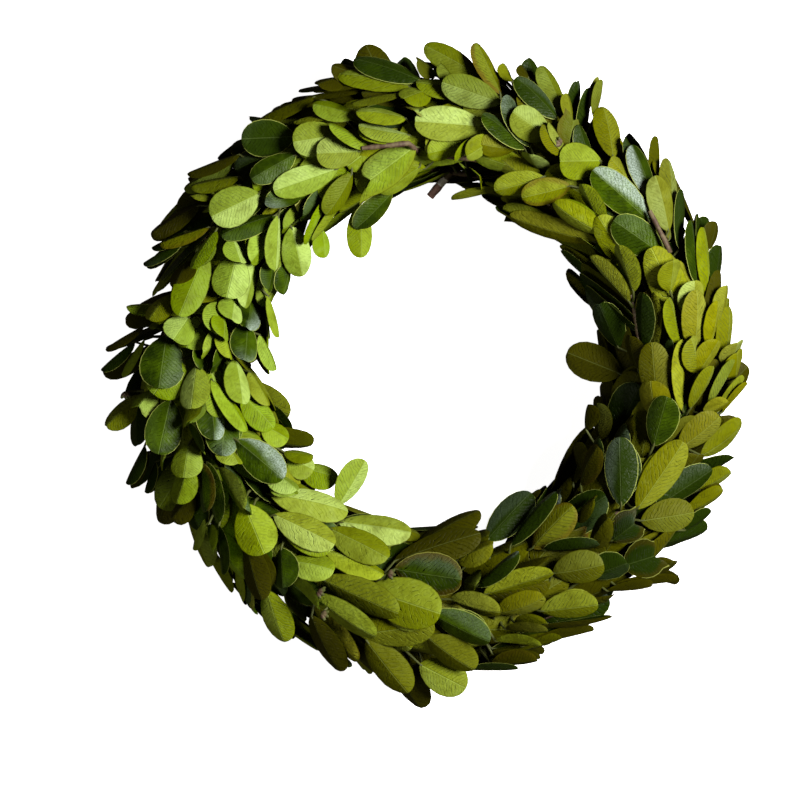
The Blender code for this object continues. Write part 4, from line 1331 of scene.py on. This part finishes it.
def sprig_tree():
    """Geometry Nodes: a blade at each leaf's place, bent to its own form, and the stems as tubes."""
    inputs = [
        ("Blade", "NodeSocketObject", None),
        ("Stems", "NodeSocketObject", None),
        ("Leaf thickness", "NodeSocketFloat", BLADE_THICKNESS),
        ("Rim curl", "NodeSocketFloat", RIM_CURL),
        ("Leaf material", "NodeSocketMaterial", None),
        ("Bark material", "NodeSocketMaterial", None),
    ]
    tree = new_tree("leafy_sprig", inputs)
    graph = Graph(tree)
    given = graph.inputs()
    blade = graph.add("GeometryNodeObjectInfo", {}, {"Object": given["Blade"]}, "Geometry")
    spread = graph.add("GeometryNodeInstanceOnPoints", {}, {"Points": given["Geometry"], "Instance": blade})
    leaves = graph.add("GeometryNodeRealizeInstances", {}, {"Geometry": spread})
    moved = {"Geometry": leaves, "Position": bent_place(graph, given)}
    shaped = graph.add("GeometryNodeSetPosition", {}, moved)
    left_out = {"Geometry": shaped, "Name": "place_*"}
    bare = graph.add("GeometryNodeRemoveAttribute", {"pattern_mode": "WILDCARD"}, left_out)
    green = with_material(graph, bare, given["Leaf material"])
    brown = with_material(graph, stem_tubes(graph, given), given["Bark material"])
    join = graph.node("GeometryNodeJoinGeometry")
    for part in (brown, green):
        tree.links.new(part.socket, join.inputs[0])
    return end_tree(tree, Value(graph, join.outputs[0]))


FORM_FIELDS = "fold twist arch tip_bend wave phase curl notch cut slant"
LeafLook = namedtuple("LeafLook", FORM_FIELDS + " flip tone dry ribbed pale dark sheen")

# The leaves' colours: the share turned over, how yellow, pale and dark, where dark partly paints the shade
# that a leaf stood in, how much painted sheen, the share cut off
Tone = namedtuple("Tone", "flipped yellow pale dark sheen cut")
TONE_KINDS = {
    "B": Tone(1, 0, 0.05, 0.05, 0, 0),
    "P": Tone(1, 0, 0.65, 0, 0, 0),
    "O": Tone(1, 0.2, 0, 0.38, 0, 0),
    "N": Tone(1, 0.6, 0, 1, 0, 0),
    "K": Tone(0, 0, 0, 1, 0, 0),
    "D": Tone(0, 0, 0, 0.12, 0.07, 0),
    "S": Tone(0, 0, 0, 0, 0.8, 0),
    "C": Tone(1, 0, 0.3, 0, 0, 1),
    "T": Tone(0, 0.2, 0, 0.2, 0.1, 1),
    "leaf_bright": Tone(0.94, 0.05, 0.05, 0.25, 0, 0.03),
    "leaf_deep": Tone(0.6, 0, 0, 0.4, 0.1, 0.03),
    "leaf_olive": Tone(0.9, 0.35, 0, 0.5, 0, 0.03),
}

# The leaves are yellower on one side of the wreath; painted shade darkens them beside it, low down, on the
# outer side and in the hole
YELLOWEST_AT = radians(-12)
YELLOW_MEAN = 0.27
YELLOW_SWING = 0.27
DARKEST_AT = radians(-45)
DARK_SWING = 0.6
LOW_DARK = 0.25
DARK_BELOW = 0.4
RIM_DARKEST_AT = radians(75)
RIM_DARK = 0.6
RIM_LEAST = 0.3
RIM_SHARE = 0.7
HOLE_DARK = 0.4


def near(draw, middle, spread):
    """A share near a value."""
    return min(max(draw.gauss(middle, spread), 0), 1)


def painted_shade_for_place(tip, angle, turn):
    """The painted shade a leaf gets for its place: low down, on one side, at the rim and in the hole, where
    shade falls.
    """
    low = 1 - smooth(tip.z / RING_CENTRE.z - DARK_BELOW)
    on_side = DARK_SWING * max(cos(angle - DARKEST_AT), 0) ** 2
    at_rim = max(RIM_LEAST + RIM_SHARE * cos(turn), 0) * max(cos(angle - RIM_DARKEST_AT), 0)
    in_hole = max(-cos(turn), 0) ** 2 * max(cos(angle), 0)
    return on_side + LOW_DARK * low + RIM_DARK * at_rim + HOLE_DARK * in_hole


def leaf_look(draw, leaf, tone):
    """How one leaf bends and what colour it is, from its own colour or that of its sprig, with painted shade
    for its place.
    """
    kind = TONE_KINDS[leaf.tone or tone]
    angle, turn, _ = place_of(leaf.tip)
    yellow = kind.yellow + YELLOW_MEAN + YELLOW_SWING * cos(angle - YELLOWEST_AT)
    # Painted shade for the leaf's place adds to its colour's own darkness
    dark = kind.dark + painted_shade_for_place(leaf.tip, angle, turn)
    cut = 1.0 if draw.random() < kind.cut else 0.0
    return LeafLook(
        fold=draw.uniform(0.75, 1.15) + cut * 0.8,
        twist=draw.gauss(0, 0.05 if leaf.tone else 0.12),
        arch=draw.gauss(0.015, 0.015),
        tip_bend=draw.gauss(-0.03, 0.02),
        wave=max(draw.gauss(0, 0.015), 0),
        phase=draw.uniform(0, 2 * pi),
        curl=draw.uniform(0.6, 1.2),
        notch=0.2 if cut else max(draw.gauss(-0.01, 0.015), 0),
        cut=cut,
        slant=draw.uniform(-0.2, 0.2),
        flip=1.0 if draw.random() < kind.flipped else 0.0,
        tone=near(draw, yellow, 0.12),
        dry=max(draw.gauss(-0.5, 0.4), 0) + cut * 0.3,
        ribbed=max(draw.gauss(0.3, 0.3), 0),
        pale=near(draw, kind.pale, 0.1),
        dark=near(draw, dark, 0.12),
        sheen=near(draw, kind.sheen, 0.05),
    )


def blade_fold(leaf):
    """How far a leaf's rim drops for each unit away from its rib."""
    return tan(blade_only(leaf).fold)


def leaf_points(leaves, looks):
    """A mesh with a point for each leaf, whose attributes hold its place, size and look."""
    mesh = bpy.data.meshes.new("leaf_points")
    mesh.from_pydata([leaf.root for leaf in leaves], [], [])
    roots, axes, sides, faces, lengths = zip(*(leaf_axes(leaf) for leaf in leaves))
    widths = [leaf.width / 2 for leaf in leaves]
    folds = [blade_fold(leaf) * look.fold for leaf, look in zip(leaves, looks)]
    columns = {
        "place_root": roots,
        "place_axis": axes,
        "place_side": sides,
        "place_face": faces,
        "place_size": list(zip(lengths, widths, [look.twist for look in looks])),
        "place_bend": [(fold, look.arch, look.tip_bend) for fold, look in zip(folds, looks)],
        "place_rim": [(look.wave, look.phase, look.curl) for look in looks],
        "place_end": [(look.notch, look.cut, look.slant) for look in looks],
        "leaf_look": [(look.flip, look.tone, look.dry) for look in looks],
        "leaf_surface": [(look.ribbed, look.phase / (2 * pi), look.cut) for look in looks],
        "leaf_shade": [(look.pale, look.dark, look.sheen) for look in looks],
    }
    for name, values in columns.items():
        store(mesh, name, "FLOAT_VECTOR", "POINT", [tuple(value) for value in values])
    return mesh


def stem_curve(name, lines):
    """A curve with one smooth line for each stem: its points and their radii."""
    curve = bpy.data.curves.new(name, "CURVE")
    curve.dimensions = "3D"
    for points, radii in lines:
        spline = curve.splines.new("POLY")
        spline.points.add(len(points) - 1)
        for place, point, radius in zip(spline.points, points, radii):
            place.co = (*point, 1)
            place.radius = radius
    return curve


def new_object(name, data):
    obj = bpy.data.objects.new(name, data)
    bpy.context.scene.collection.objects.link(obj)
    return obj


def evaluated_mesh(obj):
    bpy.context.view_layer.update()
    return bpy.data.meshes.new_from_object(obj.evaluated_get(bpy.context.evaluated_depsgraph_get()))


def run_tree(name, data, tree, values):
    """The mesh that a tree makes of an object's data, as a finished object without modifiers."""
    obj = new_object(name, data)
    modifier = obj.modifiers.new(tree.name, "NODES")
    modifier.node_group = tree
    for socket in tree.interface.items_tree:
        if socket.in_out == "INPUT" and socket.name in values:
            modifier[socket.identifier] = values[socket.name]
    mesh = evaluated_mesh(obj)
    bpy.data.objects.remove(obj)
    mesh.name = name
    return new_object(name, mesh)


def finish_piece(piece, slot, *nodes):
    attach(piece, "root")
    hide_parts(*nodes)


# The stems: swollen where the leaves grow
STEM_FINE_STEPS = 24
NODE_EVERY = 0.11
NODE_SWELL = 0.3
STEM_SLIM = 0.85
STALK_OVERLAP = 0.06
STALK_BEND_AT = 0.6
STALK_BEND = 0.1
STALK_RADII = (0.42, 0.32, 0.26, 0.2)
TWIG_STEPS = 6
TWIG_SWELL = 0.12


def stem_line(sprig):
    """The points and radii of a stem, with the small swellings that its leaves grow from."""
    points, radii = [], []
    for step in range(STEM_FINE_STEPS + 1):
        share = step / STEM_FINE_STEPS
        low = max(i for i in range(len(STEM_STOPS) - 1) if STEM_STOPS[i] <= share)
        within = (share - STEM_STOPS[low]) / (STEM_STOPS[low + 1] - STEM_STOPS[low])
        taper = STEM_TAPER[low] + (STEM_TAPER[low + 1] - STEM_TAPER[low]) * within
        swell = 1 + NODE_SWELL * max(cos(2 * pi * share / NODE_EVERY), 0) ** 2
        points.append(stem_point(sprig, share))
        radii.append(STEM_RADIUS * taper * STEM_SLIM * swell)
    return points, radii


def stalk_line(leaf):
    """A leaf's stalk, which bends from the stem into the direction of the blade."""
    _, axis, _, _, length = leaf_axes(leaf)
    end = leaf.heel + axis * length * STALK_OVERLAP
    bend = leaf.root.lerp(leaf.heel, STALK_BEND_AT) - axis * (leaf.heel - leaf.root).length * STALK_BEND
    return [leaf.root, bend, leaf.heel, end], [radius * MM for radius in STALK_RADII]


def twig_line(twig):
    points = [twig.root.lerp(twig.end, step / TWIG_STEPS) for step in range(TWIG_STEPS + 1)]
    return points, [TWIG_RADIUS * (1 + TWIG_SWELL * (step % 3 == 1)) for step in range(TWIG_STEPS + 1)]


def nearest_stem(point, sprigs):
    sprig, root = min(stem_nodes(sprigs), key=lambda node: (node[1] - point).length)
    return sprig.name, root


def bud_points(foot, forward, turn):
    """The line of one bud, which stands up at a slant, turned some degrees from the others."""
    run = (Matrix.Rotation(radians(turn), 3, "Z") @ forward + BUD_RISE).normalized() * BUD_LENGTH
    last = len(BUD_RADII) - 1
    return [foot + run * step / last for step in range(last + 1)]


def shoot_lines(sprigs):
    """The shoots and the clusters of buds, each from the stem nearest to it, by sprig."""
    lines = {}
    for x, y, end_x, end_y in SHOOTS:
        start, _ = crown_point(x, y, SHOOT_DIP)
        end, _ = crown_point(end_x, end_y, SHOOT_DIP)
        owner, root = nearest_stem(start, sprigs)
        points = [root] + [start.lerp(end, step / 4) for step in range(5)]
        lines.setdefault(owner, []).append((points, [radius * MM for radius in SHOOT_RADII]))
    for x, y in BUDS:
        foot, _ = crown_point(x, y, SHOOT_DIP)
        owner, root = nearest_stem(foot, sprigs)
        lines.setdefault(owner, []).append(([root, foot], [BUD_RADII[0] * MM] * 2))
        _, forward = ring_frame(place_of(foot)[0])
        for turn in BUD_TURNS:
            lines[owner].append((bud_points(foot, forward, turn), [radius * MM for radius in BUD_RADII]))
    return lines


def new_material(name):
    made = bpy.data.materials.new(name)
    made.use_nodes = True
    graph = Graph(made.node_tree)
    return made, graph, made.node_tree.nodes["Principled BSDF"]


def link(graph, shader, name, value):
    graph.tree.links.new(value.socket, shader.inputs[name])


# Colours, as linear light
FRESH = (0.17, 0.27, 0.001, 1)
PALE = (0.38, 0.51, 0.15, 1)
OCHRE = (0.31, 0.255, 0.0, 1)
DARK_OLIVE = (0.046, 0.048, 0.0, 1)
BROWN_BLACK = (0.022, 0.021, 0.0, 1)
DEEP = (0.012, 0.024, 0.001, 1)
MID_GREEN = (0.07, 0.125, 0.001, 1)
SHEEN_REFLECTION = (0.42, 0.52, 0.46, 1)
DRY_BROWN = (0.09, 0.045, 0.005, 1)
RIM_HIGHLIGHT = (0.4, 0.45, 0.1, 1)
BARK = (0.11, 0.08, 0.035, 1)
BARK_RED = (0.05, 0.022, 0.012, 1)
TWIG_RED = (0.24, 0.13, 0.1, 1)
PEELED = (0.7, 0.66, 0.6, 1)
PEELED_AT = 0.62
STALK_GREEN = (0.05, 0.06, 0.004, 1)
STEEL = (0.3, 0.31, 0.32, 1)
DULL_STEEL = (0.14, 0.12, 0.1, 1)

# The leaves' surface: its noises as scale, detail and distortion, its veins, its gloss and its relief
BLOTCH_NOISE = (260, 3)
GRAIN_NOISE = (2600, 2)
WRINKLE_NOISE = (620, 4, 1.2)
WANDER_NOISE = (500, 2)
STIPPLE_NOISE = (3400, 3)
VEINS = 15
VEIN_SLANT = 0.24
LEAF_GLOSS = 0.05
LEAF_RELIEF = 0.4 * MM
LeafMarks = namedtuple("LeafMarks", "from_rim vein rib rim lit_half blotches grain wrinkles")


def leaf_marks(graph, spot, along, across, half, seed):
    """Where a leaf's veins, rib, rim and blotches are, and which half is painted as lit."""
    from_rib = abs(across) * half
    from_rim = (1 - abs(across)) * half
    wander = (graph.noise(spot, *WANDER_NOISE) - 0.5) * 0.12
    vein_place = (along - from_rib * VEIN_SLANT + wander) * VEINS
    vein_wave = graph.add("ShaderNodeMath", {"operation": "PINGPONG"}, {0: vein_place, 1: 0.5})
    vein = (1 - vein_wave.ramp(0.0, 0.13)) * from_rib.ramp(0.0, 0.1) * from_rim.ramp(0.0, 0.25)
    return LeafMarks(
        from_rim=from_rim,
        vein=vein,
        rib=1 - from_rib.ramp(0.01, 0.04),
        rim=1 - from_rim.ramp(0.015, 0.05),
        lit_half=(across * (seed - 0.5) * 40).ramp(-0.4, 0.4),
        blotches=graph.noise(spot, *BLOTCH_NOISE),
        grain=graph.noise(spot, *GRAIN_NOISE),
        wrinkles=graph.noise(spot, *WRINKLE_NOISE),
    )


def under_colour(graph, marks, along, tone, pale, dark, ribbed):
    """The underside: yellow-green, paler in its veins, with painted light on one half and painted shade on
    the other, and darker towards its root with painted shade.
    """
    under = graph.mix(tone, FRESH, OCHRE)
    # Painted light: one half is paler, and the pale tone shows most on it
    pale_tone_and_painted_light = marks.lit_half * 0.1 + pale * (marks.lit_half * 0.5 + 0.3)
    under = graph.mix(pale_tone_and_painted_light * (marks.blotches * 0.8 + 0.5), under, PALE)
    # Painted shade on the half away from the light
    under = graph.mix((1 - marks.lit_half) * 0.22, under, DARK_OLIVE)
    under = graph.mix(marks.blotches.ramp(0.55, 0.8) * 0.12, under, PALE)
    under = graph.mix((1 - marks.blotches.ramp(0.25, 0.55)) * 0.35, under, DARK_OLIVE)
    # Painted shade in the wrinkles' hollows, where the relief is low
    under = graph.mix((1 - marks.wrinkles.ramp(0.3, 0.55)) * 0.25, under, DARK_OLIVE)
    under = graph.mix(marks.vein * ribbed * 0.3, under, PALE)
    # Painted shade for the leaf's place, with its dark tone, stronger towards the root
    under = graph.mix(dark * (1.15 - along * 0.3), under, DARK_OLIVE)
    # The darkest leaves, partly through painted shade, go brown-black
    return graph.mix(dark.ramp(0.6, 1.0) * 0.75, under, BROWN_BLACK)


def over_colour(graph, marks, tone, dark):
    """The upper side: deep green with lighter blotches, painted light on one half and painted shade for its
    place.
    """
    over = graph.mix(marks.blotches.ramp(0.35, 0.75) * 0.6 + tone * 0.3, DEEP, MID_GREEN)
    # Painted light on one half
    over = graph.mix(marks.lit_half * 0.3, over, MID_GREEN)
    # Painted shade for the leaf's place, with its dark tone, towards deep green
    return graph.mix(dark.ramp(0.0, 0.75), over, DEEP)


def leaf_material():
    """Boxwood leaves: a deep green upper side with a gloss and a matte yellow-green underside. Painted light
    and shade are in their colour: a lit half, shade for each leaf's place, a rim highlight and a sheen.
    """
    made, graph, shader = new_material("boxwood_leaf")
    along, across, _ = graph.attribute("leaf_place", "Vector").parts()
    flip, tone, dry = graph.attribute("leaf_look", "Vector").parts()
    ribbed, seed, _ = graph.attribute("leaf_surface", "Vector").parts()
    pale, dark, sheen = graph.attribute("leaf_shade", "Vector").parts()
    upper = abs(graph.attribute("top_face") - flip)
    spot = graph.add("ShaderNodeTexCoord", {}, {}, "Object")
    marks = leaf_marks(graph, spot, along, across, graph.attribute("leaf_half"), seed)

    under = under_colour(graph, marks, along, tone, pale, dark, ribbed)
    colour = graph.mix(upper, under, over_colour(graph, marks, tone, dark))
    colour = graph.mix(marks.rib * (0.2 - upper * 0.1) * (1 - dark * 0.7), colour, PALE)
    # Painted rim light: a pale highlight along the rim of the upper face and a dark shadow outline along the
    # rim of the underside
    colour = graph.mix(marks.rim * 0.6, colour, graph.mix(upper, DARK_OLIVE, RIM_HIGHLIGHT))
    # Painted sheen: a pale, stippled reflection of the lamp painted on one side of the upper face
    stipple = graph.noise(spot, *STIPPLE_NOISE).ramp(0.35, 0.65) * 0.65 + 0.35
    one_side = (across * (seed - 0.5) * 6 + along * 1.2 + marks.blotches - 1.4).ramp(-0.2, 0.9)
    painted_sheen = sheen * upper * one_side * stipple * marks.from_rim.ramp(0.0, 0.1)
    colour = graph.mix(painted_sheen * 0.7, colour, SHEEN_REFLECTION)
    browned = dry * (marks.blotches + 1 - marks.from_rim * 1.6).ramp(0.7, 1.3)
    colour = graph.mix(browned.ramp(0.0, 1.0), colour, DRY_BROWN)
    link(graph, shader, "Base Color", colour)
    link(graph, shader, "Roughness", 0.42 - upper * 0.12 + marks.grain * 0.12)
    shader.inputs["Specular IOR Level"].default_value = LEAF_GLOSS
    relief = marks.vein * (0.2 + ribbed) * 0.8 + marks.rib * 0.8 + marks.grain * 0.15 + marks.wrinkles * 0.9
    bump = graph.add("ShaderNodeBump", {}, {"Strength": 0.7, "Distance": LEAF_RELIEF, "Height": relief})
    link(graph, shader, "Normal", bump)
    return made


def bark_material(twig):
    """Brown streaked bark, green on the stalks, redder on the side twig and peeled off it in one place."""
    made, graph, shader = new_material("boxwood_bark")
    spot = graph.add("ShaderNodeTexCoord", {}, {}, "Object")
    streaks = graph.noise(spot, 900, 3)
    thick = graph.attribute("stem_radius")
    bark = graph.mix(streaks.ramp(0.35, 0.65), BARK, BARK_RED)
    bark = graph.mix(1 - graph.distance(spot, twig.end).ramp(0.004, 0.006), bark, TWIG_RED)
    peeled = graph.distance(spot, twig.end.lerp(twig.root, PEELED_AT))
    bark = graph.mix(1 - peeled.ramp(0.0012, 0.0015), bark, PEELED)
    link(graph, shader, "Base Color", graph.mix(thick.ramp(0.0004, 0.0005), STALK_GREEN, bark))
    shader.inputs["Roughness"].default_value = 0.7
    bump = graph.add("ShaderNodeBump", {}, {"Strength": 0.5, "Distance": 0.0003, "Height": streaks})
    link(graph, shader, "Normal", bump)
    return made


def steel_material():
    made, graph, shader = new_material("dull_steel_wire")
    spot = graph.add("ShaderNodeTexCoord", {}, {}, "Object")
    oxide = graph.noise(spot, 500, 3)
    link(graph, shader, "Base Color", graph.mix(oxide.ramp(0.4, 0.8), STEEL, DULL_STEEL))
    link(graph, shader, "Roughness", 0.35 + oxide * 0.25)
    shader.inputs["Metallic"].default_value = 1.0
    return made


def wire_tree():
    """Geometry Nodes: a round wire swept along a line."""
    inputs = [("Wire radius", "NodeSocketFloat", RING_WIRE), ("Wire material", "NodeSocketMaterial", None)]
    tree = new_tree("round_wire", inputs)
    graph = Graph(tree)
    given = graph.inputs()
    circle = {"Resolution": WIRE_SIDES, "Radius": given["Wire radius"]}
    profile = graph.add("GeometryNodeCurvePrimitiveCircle", {"mode": "RADIUS"}, circle)
    sweep = {"Curve": given["Geometry"], "Profile Curve": profile, "Fill Caps": True}
    tube = graph.add("GeometryNodeCurveToMesh", {}, sweep)
    real = graph.add("GeometryNodeRealizeInstances", {}, {"Geometry": tube})
    return end_tree(tree, with_material(graph, real, given["Wire material"]))


def line_curve(name, points, closed=False):
    curve = stem_curve(name, [(points, [1] * len(points))])
    curve.splines[0].use_cyclic_u = closed
    return curve


def build_wires(tree, steel):
    points = [ring_point(2 * pi * i / RING_STEPS, 0, 0) for i in range(RING_STEPS)]
    ring = line_curve("ring_line", points, True)
    values = {"Wire radius": RING_WIRE, "Wire material": steel}
    finish_piece(run_tree("ring_wire", ring, tree, values), "steel", "wire_ring")
    binding = line_curve("binding_line", binding_points(BINDING_FINE_STEPS))
    values["Wire radius"] = BINDING_WIRE
    finish_piece(run_tree("binding_wire_round", binding, tree, values), "steel", "binding_wire")


def build_sprigs(sprigs, leaves, twig, green, bark):
    tree = sprig_tree()
    shoots = shoot_lines(sprigs)
    blade = new_object("leaf_blade", blade_mesh())
    for sprig in sprigs:
        tone = Random("tone of " + sprig.name).choice(TONES)
        draw = Random("looks of " + sprig.name)
        grown = leaves[sprig.name]
        points = leaf_points(grown, [leaf_look(draw, leaf, tone) for leaf in grown])
        lines = [stem_line(sprig)] + ([twig_line(twig)] if twig.owner == sprig.name else [])
        lines += [stalk_line(leaf) for leaf in grown if leaf.heel and leaf.tip.z > LOWEST_LEAF]
        lines += shoots.get(sprig.name, [])
        stems = new_object("stem_lines", stem_curve("stem_lines", lines))
        values = {"Blade": blade, "Stems": stems, "Leaf material": green, "Bark material": bark}
        piece = run_tree("leafy_" + sprig.name, points, tree, values)
        finish_piece(piece, tone, sprig.name)
        bpy.data.objects.remove(stems)
    bpy.data.objects.remove(blade)


# The photograph's view and light
PHOTO_SIDE = 800
CAMERA_HEIGHT = 2.0
SENSOR = 36.0
MIDDLE_HEIGHT = 15 * MM
FARTHEST = 20
FLOOR_HALF = 3
FLOOR_DROP = 0.2 * MM
FLOOR_GREY = (0.86, 0.86, 0.86, 1)
FLOOR_GLOW = 0.97
SKY_COLOUR = (1, 0.84, 0.5, 1)
SKY_STRENGTH = 0.05

# The lamps: the place, the size in metres, the power in watts and the colour
LAMPS = {
    "key": ((0.68, 0.12, 0.86), 0.4, 28, (1, 0.98, 0.96)),
    "fill": ((-0.7, -0.55, 0.4), 0.5, 1.3, (1, 0.96, 0.9)),
}


def build_camera():
    """A camera straight above the wreath, framed as the photograph is."""
    data = bpy.data.cameras.new("camera")
    data.sensor_width = SENSOR
    data.lens = SENSOR * (CAMERA_HEIGHT - MIDDLE_HEIGHT) / (PHOTO_SIDE * PIXEL)
    data.clip_end = FARTHEST
    camera = new_object("camera", data)
    middle = from_photo(PHOTO_SIDE / 2, PHOTO_SIDE / 2, 0)
    camera.location = (middle.x, middle.y, CAMERA_HEIGHT)
    bpy.context.scene.camera = camera


def area_light(name, place, size, power, colour):
    data = bpy.data.lights.new(name, "AREA")
    data.shape = "DISK"
    data.size = size
    data.energy = power
    data.color = colour
    light = new_object(name, data)
    light.location = place
    light.rotation_mode = "QUATERNION"
    light.rotation_quaternion = (-Vector(place)).to_track_quat("-Z", "Y")


def build_stage():
    mesh = bpy.data.meshes.new("floor")
    corners = ((-1, -1), (1, -1), (1, 1), (-1, 1))
    mesh.from_pydata([(x * FLOOR_HALF, y * FLOOR_HALF, 0) for x, y in corners], [], [(0, 1, 2, 3)])
    floor = new_object("floor", mesh)
    floor.location.z = -FLOOR_DROP
    made, _, shader = new_material("pale_floor")
    shader.inputs["Base Color"].default_value = FLOOR_GREY
    shader.inputs["Roughness"].default_value = 0.9
    shader.inputs["Emission Color"].default_value = (1, 1, 1, 1)
    shader.inputs["Emission Strength"].default_value = FLOOR_GLOW
    mesh.materials.append(made)
    floor.visible_diffuse = False
    floor.visible_glossy = False

    world = bpy.data.worlds.new("studio")
    world.use_nodes = True
    sky = world.node_tree.nodes["Background"]
    sky.inputs["Color"].default_value = SKY_COLOUR
    sky.inputs["Strength"].default_value = SKY_STRENGTH
    bpy.context.scene.world = world
    for name, lamp in LAMPS.items():
        area_light(name, *lamp)
    bpy.context.scene.view_settings.view_transform = "Standard"


def main():
    sprigs = make_sprigs()
    packed, twig, front, missing = grow_packed_leaves(sprigs)
    leaves = grow_all_leaves(sprigs, packed, twig, front, missing)
    build_sprigs(sprigs, leaves, twig, leaf_material(), bark_material(twig))
    build_wires(wire_tree(), steel_material())
    build_stage()
    build_camera()


main()
